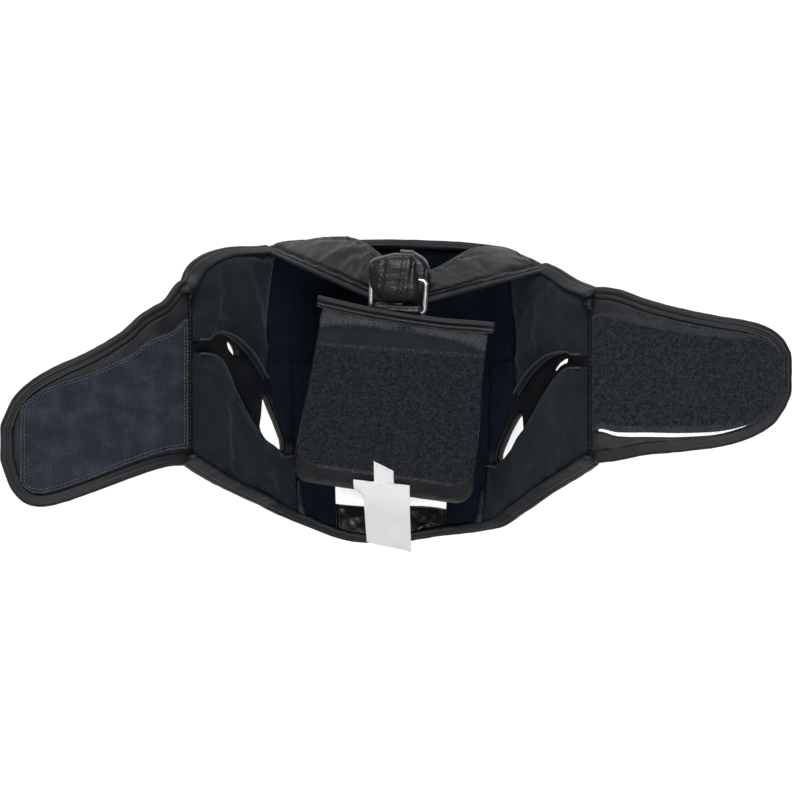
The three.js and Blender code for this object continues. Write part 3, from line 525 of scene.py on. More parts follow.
def shell(n, m):
    """Faces of a closed shell between a front grid and a back grid of n by m points."""
    index = np.arange(n * m).reshape(n, m)
    front = np.stack([index[:-1, :-1], index[1:, :-1], index[1:, 1:], index[:-1, 1:]], -1).reshape(-1, 4)
    ring = np.concatenate([index[0, :-1], index[:-1, -1], index[-1, :0:-1], index[:0:-1, 0]])
    after = np.roll(ring, -1)
    side = np.stack([ring, after, after + n * m, ring + n * m], -1)
    return np.concatenate([front, front[:, ::-1] + n * m, side])


def both(front, back):
    """Points of a front grid, then those of its back."""
    return np.concatenate([front.reshape(-1, 3), back.reshape(-1, 3)])


def twice(uv):
    """Pattern of a front grid, and again for its back."""
    return np.concatenate([uv.reshape(-1, 2)] * 2)


def runs_clockwise(path):
    ahead = np.roll(path, -1, axis=0)
    return np.sum(path[:, 0] * ahead[:, 1] - ahead[:, 0] * path[:, 1]) < 0


def tube(count, sides, ring=False):
    """Faces of a tube of count loops with that many sides, with flat ends unless it is a ring."""
    rows = np.arange(count if ring else count - 1)
    a = rows[:, None] * sides + np.arange(sides)[None]
    b = rows[:, None] * sides + (np.arange(sides)[None] + 1) % sides
    step = ((rows + 1) % count - rows)[:, None] * sides
    faces = np.stack([a, b, b + step, a + step], -1).reshape(-1, 4).tolist()
    if not ring:
        faces.append(list(range(sides))[::-1])
        faces.append(list(range((count - 1) * sides, count * sides)))
    return faces


def normals_of(grid, away):
    """Unit normals of a grid of points, on the side of another grid that is opposite to away."""
    n = unit(np.cross(np.gradient(grid, axis=0), np.gradient(grid, axis=1)))
    side = np.sum(n * (grid - away), -1)
    return n * (1 if side.sum() > 0 else -1)


def eased(count, amount=0.5):
    x = np.linspace(0, 1, count)
    return lerp(x, 0.5 - 0.5 * np.cos(np.pi * x), amount)


def swell(x, power=6):
    return np.sqrt(np.maximum(1 - np.abs(2 * x - 1) ** power, 0))


def wall_form(u0, u1, low, high, inner, thick, edge=0.12, power=6):
    """Padded form on the wall: its front, its back and its pattern at shares x and y."""

    def form(x, y):
        u = lerp(u0, u1, x)
        v = lerp(low(u), high(u), y)
        rise = edge + (1 - edge) * swell(x, power) * swell(y, power)
        front = place(u, v, inner + thick * rise)
        back = place(u, v, inner)
        return front, back, np.stack(np.broadcast_arrays(u, v), -1)

    return form


# Each padded piece is sewn down along its edges, and its face is blown up and crumpled by cloth simulation.
soft_pieces = []


def resample(field, shape):
    """Smooth interpolation of a grid of vectors onto a finer grid."""
    for axis, count in enumerate(shape):
        n = field.shape[axis]
        x = np.linspace(0, n - 1, count)
        i = np.minimum(np.floor(x).astype(int), n - 2)
        s = (x - i).reshape([-1 if k == axis else 1 for k in range(field.ndim)])
        take = lambda k: np.take(field, np.clip(i + k, 0, n - 1), axis=axis)
        p0, p1, p2, p3 = take(-1), take(0), take(1), take(2)
        field = p1 + 0.5 * s * (p2 - p0 + s * (2 * p0 - 5 * p1 + 4 * p2 - p3 + s * (3 * (p1 - p2) + p3 - p0)))
    return field


def soft(
    name, form, size, look, slot, nodes, relief=None, fill=0.6, step=1.75, cap=2.0, grow=0.03, pressure=4.0,
    ease=0.5
):
    soft_pieces.append(
        {
            "name": name, "form": form, "size": size, "look": look, "slot": slot, "nodes": nodes,
            "relief": relief, "fill": fill, "step": step, "cap": cap, "grow": grow,
            "pressure": pressure, "ease": ease,
        }
    )


def grid_of(row, step):
    n, m = (max(8, round(length / step) + 1) for length in row["size"])
    x, y = eased(n, row["ease"])[:, None], eased(m, row["ease"])[None, :]
    return x, y, *row["form"](x, y)


CLOTH_STEP = 4.5
CLOTH_FRAMES = 18


def simulate():
    """Blows up a coarse copy of each padded piece and keeps how far its face moved."""
    scene = bpy.context.scene
    trials = []
    for row in soft_pieces:
        _, _, front, back, _ = grid_of(row, CLOTH_STEP)
        n, m = front.shape[:2]
        points = to_frame(both(front, back))
        faces = shell(n, m)
        a, b, c = points[faces[:, 0]], points[faces[:, 1]], points[faces[:, 2]]
        if np.sum(a * np.cross(b, c)) < 0:
            faces = faces[:, ::-1]
        mesh = bpy.data.meshes.new("trial")
        mesh.from_pydata(points.tolist(), [], faces.tolist())
        obj = bpy.data.objects.new("trial", mesh)
        scene.collection.objects.link(obj)
        index = np.arange(n * m).reshape(n, m)
        loose = index[1:-1, 1:-1].ravel()
        held = sorted(set(range(2 * n * m)) - set(loose.tolist()))
        group = obj.vertex_groups.new(name="held")
        group.add(held, 1.0, "REPLACE")
        cloth = obj.modifiers.new("Cloth", "CLOTH")
        cloth.settings.vertex_group_mass = "held"
        cloth.settings.use_pressure = True
        cloth.settings.uniform_pressure_force = row["pressure"]
        cloth.settings.shrink_min = -row["grow"]
        cloth.settings.mass = 0.25
        cloth.settings.quality = 4
        cloth.settings.effector_weights.gravity = 0
        cloth.collision_settings.use_collision = False
        cloth.point_cache.frame_end = CLOTH_FRAMES
        trials.append((row, obj, points, n, m))
    for f in range(1, CLOTH_FRAMES + 1):
        scene.frame_set(f)
    graph = bpy.context.evaluated_depsgraph_get()
    for row, obj, points, n, m in trials:
        made = obj.evaluated_get(graph).to_mesh()
        now = np.zeros(len(made.vertices) * 3)
        made.vertices.foreach_get("co", now)
        moved = (now.reshape(-1, 3) - points)[: n * m].reshape(n, m, 3) * 1000
        moved = np.nan_to_num(moved)
        length = np.linalg.norm(moved, axis=-1, keepdims=True)
        row["moved"] = moved * np.tanh(length / row["cap"]) * row["cap"] / np.maximum(length, 1e-6)
        obj.to_mesh_clear()
        bpy.data.objects.remove(obj)
    scene.frame_set(1)


def finish_soft():
    simulate()
    for row in soft_pieces:
        x, y, front, back, uv = grid_of(row, row["step"])
        out = normals_of(front, back)
        if "moved" in row:
            front = front + resample(row["moved"], front.shape[:2])
        if row["relief"] is not None:
            edge = np.minimum(swell(x, 8), 1) * np.minimum(swell(y, 8), 1)
            front = front + out * (row["relief"](x, y, uv) * edge)[..., None]
        n, m = front.shape[:2]
        points = both(front, back)
        uvs = twice(uv)
        piece(row["name"], points, shell(n, m), row["look"], uvs, row["nodes"])


def puckers(x, y, uv, size, depth, seed):
    """Small gathers that run in from the sewn edges."""
    dx = np.minimum(x, 1 - x) * size[0]
    dy = np.minimum(y, 1 - y) * size[1]
    near = np.exp(-np.minimum(dx, dy) / 5.0)
    return depth * near * noise(uv, 5.5, seed)


def cloth_relief(size, seed, broad=0.5, fine=0.12, gathers=0.5):
    def relief(x, y, uv):
        return broad * layered(uv, 32, seed, 2) + fine * layered(uv, 9, seed + 7, 2) + puckers(
            x, y, uv, size, gathers, seed + 11
        )

    return relief


def side_u(side, u):
    return SIGN[side] * u


SEAM = GAP / 2


def front_pads():
    end = FRONT_PAD_END - SEAM
    brow = lambda u: 0 * u + BROW_HEIGHT
    size = (2 * end, 96)

    def forehead_relief(x, y, uv):
        seams = sum(np.exp(-(((uv[..., 0] - s) / 2.2) ** 2)) for s in (-34, 34))
        return cloth_relief(size, 3, 0.7, 0.15)(x, y, uv) - 3.0 * seams

    form = wall_form(-end, end, brow, top, LAYER, FOREHEAD_PAD, 0.15)
    soft(
        "forehead_pad_leather", form, size, LEATHER, "leather", ["forehead_pad"], forehead_relief, cap=0.8,
        fill=0.8
    )
    rear = TEMPLE_START - SEAM
    size = (2 * rear, 96)

    def channels(x, y, uv):
        rib = np.abs(np.sin(np.pi * uv[..., 0] / 13.0)) ** 0.5
        return cloth_relief(size, 21, 0.4, 0.1)(x, y, uv) + 1.0 * rib - 1.0

    form = wall_form(-rear, rear, lambda u: brow(u) - 1.5, top, -LAYER, -FRONT_LINING, 0.3)
    soft("forehead_lining_cloth", form, size, SHADED_LINING, "lining", ["forehead_lining"], channels, cap=1.0)
    end = FACE_HALF_WIDTH - SEAM
    size = (2 * end, 30)
    mouth = lambda u: -MOUTH_DEPTH - 5.5 - 0.05 * u + 1.2 * np.sin(u / 17)

    def folds(x, y, uv):
        slant = uv[..., 1] + 0.55 * uv[..., 0] * np.sign(uv[..., 0])
        crease = np.exp(-(((slant + 100) / 3.2) ** 2)) + 0.7 * np.exp(-(((slant + 84) / 2.6) ** 2))
        return 0.9 * layered(uv * [0.55, 1.6], 17, 31, 3) - 1.5 * crease

    soft(
        "chin_pad_leather", wall_form(-end, end, bottom, mouth, LAYER, CHIN_PAD, 0.15), size, LEATHER,
        "leather", ["chin_pad"], cloth_relief(size, 35, 0.6, 0.15), cap=0.8, fill=0.8
    )
    soft(
        "chin_lining_leather", wall_form(-end, end, bottom, mouth, -LAYER, -CHIN_LINING, 0.3), size, GLOSSY,
        "leather", ["chin_lining"], folds, cap=1.0, step=0.9
    )


def cheeks(side):
    start_, end = FACE_HALF_WIDTH + SEAM, FRONT_PAD_END - SEAM
    brow = lambda u: 0 * u + BROW_HEIGHT + 0.5
    size = (end - start_, 135)
    form = wall_form(side_u(side, start_), side_u(side, end), bottom, brow, LAYER, CHEEK_PAD, 0.15)
    soft(f"{side}_cheek_pad_leather", form, size, LEATHER, "leather", [f"{side}_cheek_pad"],
         cloth_relief(size, 41, 0.8, 0.15), cap=0.8, fill=0.85)
    step = JAW_START - 2 * GAP
    form = wall_form(side_u(side, start_), side_u(side, step), bottom, brow, -LAYER, -FRONT_LINING, 0.15)
    size = (step - start_, 135)
    soft(f"{side}_cheek_lining_cloth", form, size, SHADED_LINING, "lining", [f"{side}_cheek_lining"],
         cloth_relief(size, 43, 0.5, 0.12), cap=1.0)
    form = wall_form(
        side_u(side, step + GAP), side_u(side, TEMPLE_START - SEAM), temple_foot, brow, -LAYER,
        -FRONT_LINING, 0.15
    )
    size = (TEMPLE_START - step, 50)
    soft(f"{side}_cheek_lining_top_cloth", form, size, SHADED_LINING, "lining", [f"{side}_cheek_lining"],
         cloth_relief(size, 47, 0.4, 0.12), cap=0.8)


def side_linings(side):
    seed = 60 if side == "left" else 80
    size = (LINING_END - TEMPLE_START, 66)
    form = wall_form(
        side_u(side, TEMPLE_START + SEAM), side_u(side, LINING_END), temple_foot, top, -LAYER,
        -TEMPLE_LINING, 0.15
    )
    soft(f"{side}_temple_lining_cloth", form, size, LINING, "lining", [f"{side}_temple_lining"],
         cloth_relief(size, seed, 0.6, 0.12, 0.7), cap=1.6, grow=0.04)
    size = (LINING_END - JAW_START, 75)
    form = wall_form(
        side_u(side, JAW_START + SEAM), side_u(side, LINING_END), bottom, jaw_head, -LAYER, -JAW_LINING,
        0.15
    )
    soft(f"{side}_jaw_lining_cloth", form, size, LINING, "lining", [f"{side}_jaw_lining"],
         cloth_relief(size, seed + 9, 0.6, 0.12, 0.7), cap=1.6, grow=0.04)


# Leather side with the holes at the ear
def hole_outline(side, rows, count):
    knots = np.array(rows) * [EAR_LENGTH, EAR_HEIGHT[side]] + [EAR_START, EAR_BASE[side]]
    return smooth_ring(knots, count)


def smooth_ring(knots, count):
    """Centripetal curve through a ring of points, sampled evenly."""
    n = len(knots)
    out = []
    for i in range(n):
        p0, p1, p2, p3 = (knots[(i + k - 1) % n] for k in range(4))
        t = np.cumsum(
            [0.0] + [max(np.linalg.norm(b - a), 1e-4) ** 0.5 for a, b in ((p0, p1), (p1, p2), (p2, p3))]
        )
        for x in np.linspace(t[1], t[2], 24, endpoint=False):
            mix = lambda a, b, ta, tb: a * (tb - x) / (tb - ta) + b * (x - ta) / (tb - ta)
            a1, a2, a3 = mix(p0, p1, t[0], t[1]), mix(p1, p2, t[1], t[2]), mix(p2, p3, t[2], t[3])
            b1, b2 = mix(a1, a2, t[0], t[2]), mix(a2, a3, t[1], t[3])
            out.append(mix(b1, b2, t[1], t[2]))
    return even(np.array(out), count, True)


def even(points, count, ring=False):
    """Path sampled at even steps."""
    points = np.asarray(points, float)
    if ring:
        points = np.concatenate([points, points[:1]])
    s = np.concatenate([[0], np.cumsum(np.linalg.norm(np.diff(points, axis=0), axis=1))])
    at = np.linspace(0, s[-1], count + 1 if ring else count)
    if ring:
        at = at[:-1]
    return np.stack([np.interp(at, s, points[:, k]) for k in range(points.shape[1])], -1)


def within(points, ring):
    """Which points lie inside a closed outline."""
    x, y = points[:, 0, None], points[:, 1, None]
    x0, y0 = ring[None, :, 0], ring[None, :, 1]
    x1, y1 = np.roll(x0, -1, axis=1), np.roll(y0, -1, axis=1)
    crosses = ((y0 > y) != (y1 > y)) & (x < (x1 - x0) * (y - y0) / np.where(y1 == y0, 1e-9, y1 - y0) + x0)
    return crosses.sum(1) % 2 == 1


EDGE_ROWS = (0.45, 1.0, 1.8, 3.0, 4.4)  # rows of points along each edge of the leather


def side_panel(side):
    sign, seed = SIGN[side], 100 if side == "left" else 120
    us = np.linspace(FRONT_PAD_END + SEAM, ROOT - SEAM, 110)
    border = np.concatenate([np.stack([us, top(sign * us)], -1), np.stack([us, bottom(sign * us)], -1)[::-1]])
    loops = [
        even(border, 420, True), hole_outline(side, EAR_HOLE[side], 110),
        hole_outline(side, EAR_VENT[side], 44)
    ]
    allowed = lambda p: within(p, loops[0]) & ~within(p, loops[1]) & ~within(p, loops[2])
    edge_points = np.concatenate(loops)
    rings = []
    for loop in loops:
        out = sideways(loop, True)
        for step in EDGE_ROWS:
            rings += [loop + out * step, loop - out * step]
    x, y = np.meshgrid(np.arange(93, ROOT, 1.9), np.arange(-120, 115, 1.9), indexing="ij")
    x = x + 0.95 * (np.arange(y.shape[1]) % 2)
    points = np.concatenate([*rings, np.stack([x, y], -1).reshape(-1, 2)])
    points = points[allowed(points)]
    gap = np.array([np.hypot(*(edge_points - p).T).min() for p in points])
    on_ring_ = np.abs(gap[:, None] - np.array(EDGE_ROWS)[None]).min(1) < 0.12
    points = points[on_ring_ | (gap > 5.2)]
    edges, first = [], 0
    for loop in loops:
        k = np.arange(len(loop))
        edges += np.stack([first + k, first + (k + 1) % len(loop)], -1).tolist()
        first += len(loop)
    flat = np.concatenate([edge_points, points])
    verts, _, tris, *_ = delaunay_2d_cdt([Vector(p) for p in flat.tolist()], edges, [], 0, 1e-4)
    verts = np.array([list(v) for v in verts])
    tris = np.array(tris)
    tris = tris[allowed(verts[tris].mean(1))]
    used = np.unique(tris)
    fresh = np.full(len(verts), -1)
    fresh[used] = np.arange(len(used))
    verts, tris = verts[used], fresh[tris]
    gap = np.array([[np.hypot(*(loop - p).T).min() for loop in loops] for p in verts])
    near = gap.min(1)
    rise = np.sqrt(np.clip(1 - (1 - np.clip(near / 3.2, 0, 1)) ** 2, 0, 1))
    uv = np.stack([sign * verts[:, 0], verts[:, 1]], -1)
    swell_ = 0.6 * layered(uv, 36, seed, 2) + 0.15 * layered(uv, 8, seed + 4, 2)
    groove = 0.8 * np.exp(-(((gap[:, 0] - 8) / 1.1) ** 2)) + 0.8 * np.exp(-(((gap[:, 1] - 9) / 1.1) ** 2))
    thick = LAYER + SIDE_PANEL * (0.3 + 0.67 * rise) + (swell_ - groove) * rise
    front, back = place(uv[:, 0], uv[:, 1], thick), place(uv[:, 0], uv[:, 1], LAYER)
    count = len(verts)
    sides = np.sort(np.concatenate([tris[:, [0, 1]], tris[:, [1, 2]], tris[:, [2, 0]]]), axis=1)
    pairs, seen = np.unique(sides, axis=0, return_counts=True)
    rim_pairs = {tuple(p) for p in pairs[seen == 1].tolist()}
    wall = []
    for tri in tris.tolist():
        for a, b in zip(tri, tri[1:] + tri[:1]):
            if (min(a, b), max(a, b)) in rim_pairs:
                wall.append([b, a, a + count, b + count])
    faces = tris.tolist() + (tris[:, ::-1] + count).tolist() + wall
    piece(
        f"{side}_side_leather", np.concatenate([front, back]), faces, LEATHER,
        np.concatenate([uv, uv]), [f"{side}_side_panel"]
    )


# Rolled edges. A section is given by circles (off, depth, radius) that lie side by side.
def section(circles, sides=26):
    angle = np.linspace(0, 2 * np.pi, sides, endpoint=False)
    ray = np.stack([np.cos(angle), np.sin(angle)], -1)
    reach = np.zeros(sides)
    for off, depth, radius in circles:
        along = ray @ np.array([off, depth])
        inside = along**2 - (off**2 + depth**2 - radius**2)
        reach = np.maximum(reach, np.where(inside > 0, along + np.sqrt(np.maximum(inside, 0)), 0))
    return ray * reach[:, None]


def sideways(path, ring=False):
    """Unit directions to the left of a path of [u, v] places."""
    if ring:
        d = np.roll(path, -1, axis=0) - np.roll(path, 1, axis=0)
    else:
        d = np.gradient(path, axis=0)
    d = unit(d)
    return np.stack([-d[:, 1], d[:, 0]], -1)


def rolled(name, path, circles, t, look, nodes, ring=False, seed=0, rough=0.05, off=0.0, taper=0.0):
    path = np.asarray(path, float)
    out = sideways(path, ring)
    path = path + out * off
    shape = section(circles)
    s = np.arange(len(path))
    size = np.ones(len(path))
    if taper and not ring:
        ends = np.minimum(s, len(path) - 1 - s) / taper
        size = np.sqrt(np.clip(1 - (1 - np.clip(ends, 0, 1)) ** 2, 0.12, 1))
    u = path[:, 0, None] + out[:, 0, None] * shape[None, :, 0] * size[:, None]
    v = path[:, 1, None] + out[:, 1, None] * shape[None, :, 0] * size[:, None]
    depth = t + shape[None, :, 1] * size[:, None]
    around = np.linspace(0, 2 * np.pi, shape.shape[0], endpoint=False)
    spots = np.stack(
        np.broadcast_arrays(s[:, None] * 1.0, 4 * np.cos(around)[None], 4 * np.sin(around)[None]), -1
    )
    wrinkle = 1 + rough * (noise(spots, 5, seed) + 0.7 * noise(spots, 12, seed + 1))
    u = path[:, 0, None] + (u - path[:, 0, None]) * wrinkle
    v = path[:, 1, None] + (v - path[:, 1, None]) * wrinkle
    depth = t + (depth - t) * wrinkle
    points = place(u, v, depth)
    return piece(
        name, points, tube(len(path), shape.shape[0], ring), look,
        np.stack([np.repeat(s[:, None], shape.shape[0], 1), np.repeat(around[None], len(s), 0) * 3], -1),
        nodes
    )


RIM_SECTION = [(0.6, 2.6, 3.3), (-1.6, 0.6, 3.0), (-0.3, -1.6, 2.2), (-1.8, -4.4, 1.9), (-3.0, -8.0, 2.4)]
HEM_LENGTH = 118.0
HEM = np.array([(0, 16.5), (8, 14.5), (18, 10.0), (40, 5.0), (90, 0.8), (118, 0.3)])
WING_SECTION = [(1.7, 0.0, 3.1), (-1.0, 0.2, 1.9), (-2.8, -0.4, 2.3)]
BAND_BASE = {"left": (128.0, 48.0), "right": (163.0, 100.0)}


def rims():
    off = RIM_BINDING / 2 - 0.8
    (ll, lu), (rl, ru) = BAND_BASE["left"], BAND_BASE["right"]
    spans = [
        ("left_rim_roll", -ROOT - 5, -ll + 8, "left_rim_binding"),
        ("crown_rim_roll", -lu - 8, ru + 10, "crown_rim_binding"),
        ("right_rim_roll", rl - 9, ROOT + 2, "right_rim_binding"),
    ]
    for k, (name, start_, end, cad) in enumerate(spans):
        us = np.linspace(start_, end, int((end - start_) / 1.7))
        over = lerp(top(us), wing_edge("left", WING_UPPER, us), smoothstep(-us, ROOT - 8, ROOT + 1))
        path = even(np.stack([us, over], -1), len(us))
        rolled(name, path, RIM_SECTION, 1.0, PIPING, [cad], seed=200 + k, off=off, taper=3)
    us = np.linspace(-ROOT - 1.5, ROOT + 1.5, 400)
    path = even(np.stack([us, bottom(us)], -1), 320)
    flipped = [(-o, d, r) for o, d, r in RIM_SECTION]
    rolled(
        "lower_rim_roll", path, flipped, 1.0, PIPING, ["lower_rim_binding"], seed=205, rough=0.07, off=-off,
        taper=3
    )


def lining_edges(side):
    """Thin piping along the two lining edges that meet at the ear."""
    for name, start_, edge, depth, shift, seed in (
        ("temple", TEMPLE_START, temple_foot, TEMPLE_LINING, 0.9, 206),
        ("jaw", JAW_START, jaw_head, JAW_LINING, -0.9, 207)
    ):
        us = side_u(side, np.linspace(start_ + SEAM, LINING_END, 150))
        path = even(np.stack([us, edge(us) + shift], -1), 150)
        rolled(
            f"{side}_{name}_edge_piping", path, [(0, 0, 0.85), (0, 0.3, 0.85)], -0.62 * depth, EDGE, [],
            seed=seed, taper=3
        )


def ear_rims(side):
    circles = [(0, 1.4, 1.9), (0, -1.2, 2.0)]
    for name, rows, count, nodes in (
        ("ear", EAR_HOLE, 150, [f"{side}_ear_binding"]), ("vent", EAR_VENT, 60, [])
    ):
        path = hole_outline(side, rows[side], count)
        path[:, 0] *= SIGN[side]
        clockwise = runs_clockwise(path)
        off = (EAR_BINDING / 2 if nodes else 0.4) * (-1 if clockwise else 1)
        shape = circles if nodes else [(0, 0.5, 0.9), (0, -0.5, 0.9)]
        rolled(
            f"{side}_{name}_roll", path, shape, SIDE_PANEL / 2, PIPING, nodes, ring=True, seed=220, off=off
        )


# Wings
def hem(side, u):
    """Height of the leather strip under the slit in the right wing."""
    if side == "left":
        return 0 * u
    return column(HEM[:, 0], HEM[:, 1], np.abs(u) - ROOT)


def slit(side, u):
    if side == "left":
        return 0 * u
    share = np.clip((np.abs(u) - ROOT - 2) / (HEM_LENGTH - 4), 0, 1)
    return 3.2 * np.sqrt(np.maximum(np.sin(np.pi * share**0.6), 0))


def wing_low(side, u):
    return wing_edge(side, WING_LOWER, u) + hem(side, u) + slit(side, u)


def wing_hem():
    half = WING_PANEL / 2
    size = (HEM_LENGTH, 16)

    def form(x, y):
        u = lerp(ROOT - 2.0, ROOT + HEM_LENGTH, x)
        v = wing_edge("right", WING_LOWER, u) + lerp(0.8, 1, y) * hem("right", u) * y
        rise = 0.25 + 0.75 * swell(x, 8) * swell(y, 5)
        return place(u, v, -half * rise), place(u, v, half * rise), np.stack(np.broadcast_arrays(u, v), -1)

    soft(
        "right_wing_hem_leather", form, size, PAINTED_LIGHT_LEATHER, "leather", [], cloth_relief(size, 290, 0.3, 0.1, 0.5),
        cap=0.35, grow=0.02, fill=0.3
    )


def wing(side):
    end = ROOT + WING_LENGTH[side]
    low, high = (lambda u: wing_low(side, u)), (lambda u: wing_edge(side, WING_UPPER, u))
    half = WING_PANEL / 2
    seed = 240 if side == "left" else 260
    size = (WING_LENGTH[side], 105)

    def form(x, y):
        u = side_u(side, lerp(ROOT - 2.0, end, x))
        v = lerp(low(u), high(u), y)
        rise = 0.25 + 0.75 * swell(x, 8) * swell(y, 8)
        wave = 0.5 * layered(np.stack(np.broadcast_arrays(u, v), -1), 42, seed, 2)
        mid = wave * swell(x, 4) * swell(y, 4)
        return place(u, v, -half * rise + mid), place(u, v, half * rise + mid), np.stack(
            np.broadcast_arrays(u, v), -1
        )

    soft(
        f"{side}_wing_leather", form, size, LEATHER, "leather", [f"{side}_wing"],
        cloth_relief(size, seed + 3, 0.15, 0.08, 0.25), cap=0.35, grow=0.02, fill=0.3
    )
    us = side_u(side, np.linspace(ROOT - 1.5, end, 240))
    upper = np.stack([us, wing_edge(side, WING_UPPER, us)], -1)
    lower = np.stack([us, wing_edge(side, WING_LOWER, us)], -1)
    path = even(np.concatenate([upper, lower[::-1]]), 250)
    if side == "left":
        circles = [(-o, d, r) for o, d, r in WING_SECTION]
    else:
        circles = WING_SECTION
    off = SIGN[side] * (WING_BINDING / 2 - 0.7)
    rolled(
        f"{side}_wing_roll", path, circles, 0.0, PIPING, [f"{side}_wing_binding"], seed=seed + 5, off=off,
        taper=3
    )


# Threads, stitches and fibres
def stitches(name, runs, pitch=3.4, length=2.4, radius=0.38, look=None, lift=0.15):
    """Short threads along runs of (points, normals), sunk at both ends."""
    verts, faces = [], []
    sides = 6
    shape = [(-0.5, -0.9, 0.45), (-0.38, 0.1, 0.9), (0, 0.35, 1.0), (0.38, 0.1, 0.9), (0.5, -0.9, 0.45)]
    angle = np.linspace(0, 2 * np.pi, sides, endpoint=False)
    block = np.array(tube(len(shape), sides)[:-2])
    for points, outs in runs:
        s = np.concatenate([[0], np.cumsum(np.linalg.norm(np.diff(points, axis=0), axis=1))])
        at = np.arange(pitch / 2, s[-1] - pitch / 3, pitch)
        if not len(at):
            continue
        mid = np.stack([np.interp(at, s, points[:, k]) for k in range(3)], -1)
        out = unit(np.stack([np.interp(at, s, outs[:, k]) for k in range(3)], -1))
        ahead = np.stack([np.interp(at + 0.5, s, points[:, k]) for k in range(3)], -1)
        along = unit(ahead - mid)
        along = unit(along - out * np.sum(along * out, -1, keepdims=True))
        across = np.cross(out, along)
        for k in range(len(at)):
            base = sum(len(v) for v in verts)
            loops = []
            for share, rise, thick in shape:
                centre = mid[k] + along[k] * share * length + out[k] * (rise * radius + lift)
                ring = across[k] * np.cos(angle)[:, None] + out[k] * np.sin(angle)[:, None]
                loops.append(centre + ring * radius * thick)
            verts.append(np.concatenate(loops))
            faces.append(block + base)
    if verts:
        piece(name, np.concatenate(verts), np.concatenate(faces), look or THREAD, closed=False)


def wall_run(u, v, t, inward):
    u, v, t = np.broadcast_arrays(np.asarray(u, float), v, t)
    points = place(u, v, t)
    outs = unit(place(u, v, t + 1) - points) * (-1 if inward else 1)
    return points, outs


def fibres(name, roots, outs, rng, length, width, look, curl=0.6, lean_to=None):
    """Curved fine fibres, each a narrow ribbon of four faces."""
    count = len(roots)
    pick = unit(rng.normal(size=(count, 3)))
    side = unit(np.cross(outs, pick))
    way = unit(np.cross(side, outs))
    if lean_to is not None:
        way = unit(way * 0.6 + lean_to)
    size = length * rng.uniform(0.5, 1.3, (count, 1))
    curve = curl * rng.uniform(0.4, 1.6, (count, 1))
    spine = []
    for s in np.linspace(0, 1, 4):
        rise = np.sin(s * 2.2)
        spine.append(
            roots + outs * size * rise * 0.6 + way * size * curve * s * s + side * size * 0.2
            * np.sin(4 * s + 6.28 * pick[:, :1])
        )
    spine = np.stack(spine, 1)
    half = side[:, None] * width / 2 * np.array([1, 0.9, 0.7, 0.3])[None, :, None]
    verts = np.stack([spine - half, spine + half], 2).reshape(-1, 3)
    base = (np.arange(count) * 8)[:, None, None]
    strip = np.array([[2 * k, 2 * k + 1, 2 * k + 3, 2 * k + 2] for k in range(3)])[None]
    faces = (base + strip).reshape(-1, 4)
    piece(name, verts, faces, look, closed=False)


# Fastening tapes
HOOK_SPAN = (ROOT + 1, ROOT + 124)
LOOP_SPAN = (ROOT + 0.5, ROOT + 141)


def tape_edges(side):
    a, b = HOOK_SPAN if side == "left" else LOOP_SPAN
    root, tip, power = (22, 0.5, 0.6) if side == "left" else (16, 0, 0.5)
    margin = lambda u: lerp(root, tip, np.clip((np.abs(u) - a) / (b - a), 0, 1) ** power)
    foot = lambda u: lerp(4, 0.5, np.clip((np.abs(u) - a) / (b - a), 0, 1)) if side == "left" else 0 * u + 0.5
    low = lambda u: wing_low(side, u) + foot(u)
    high = lambda u: wing_edge(side, WING_UPPER, u) - margin(u)
    return a, b, low, high


def tape(side, look, cad, step, rough):
    a, b, low, high = tape_edges(side)
    n, m = int((b - a) / step), int(92 / step)
    x, y = np.linspace(0, 1, n)[:, None], np.linspace(0, 1, m)[None, :]
    u = side_u(side, lerp(a, b, x))
    v = lerp(low(u), high(u), y)
    uv = np.stack(np.broadcast_arrays(u, v), -1)
    rise = 0.3 + 0.7 * swell(x, 40) * swell(y, 30)
    wave = 0.35 * layered(uv, 30, 300, 2)
    t = -WING_PANEL / 2 - GAP - 2 * rise + wave * swell(x, 4) * swell(y, 4) - rough(uv, x, y)
    back = place(u, v, 0 * t - WING_PANEL / 2 - 0.1)
    front = place(u, v, t)
    piece(f"{side}_{cad}_face", both(front, back), shell(*front.shape[:2]), look,
          twice(uv), [f"{side}_{cad}"])


def left_tape():
    def ribs(uv, x, y):
        return 0.22 * layered(uv, 3.4, 310, 2) + 0.25 * noise(uv * [1, 0.1], 5, 313)

    tape("left", HOOK, "hook_tape", 1.1, ribs)
    a, b, low, high = tape_edges("left")
    runs = []
    for inset in (1.2, 3.4):
        us = np.linspace(a + inset, b - inset, 160)
        u = side_u("left", us)
        runs.append(wall_run(u, low(u) + inset, -5.1, True))
        runs.append(wall_run(u, high(u) - inset, -5.1, True))
        for end in (a + inset, b - inset):
            e = side_u("left", end)
            v = np.linspace(low(np.array(e)) + inset, high(np.array(e)) - inset, 80)
            runs.append(wall_run(np.full(80, e), v, -5.1, True))
    stitches("left_tape_stitches", runs, 2.6, 2.0, 0.34, FRAY)
    rng = np.random.default_rng(5)
    n = 5000
    u = side_u("left", rng.uniform(a + 1, b - 1, n))
    v = lerp(low(u), high(u), rng.uniform(0.02, 0.98, n))
    roots, outs = wall_run(u, v, -4.8, True)
    fibres("left_tape_hooks", roots, outs, rng, 0.9, 0.16, FIBRE, 0.5)


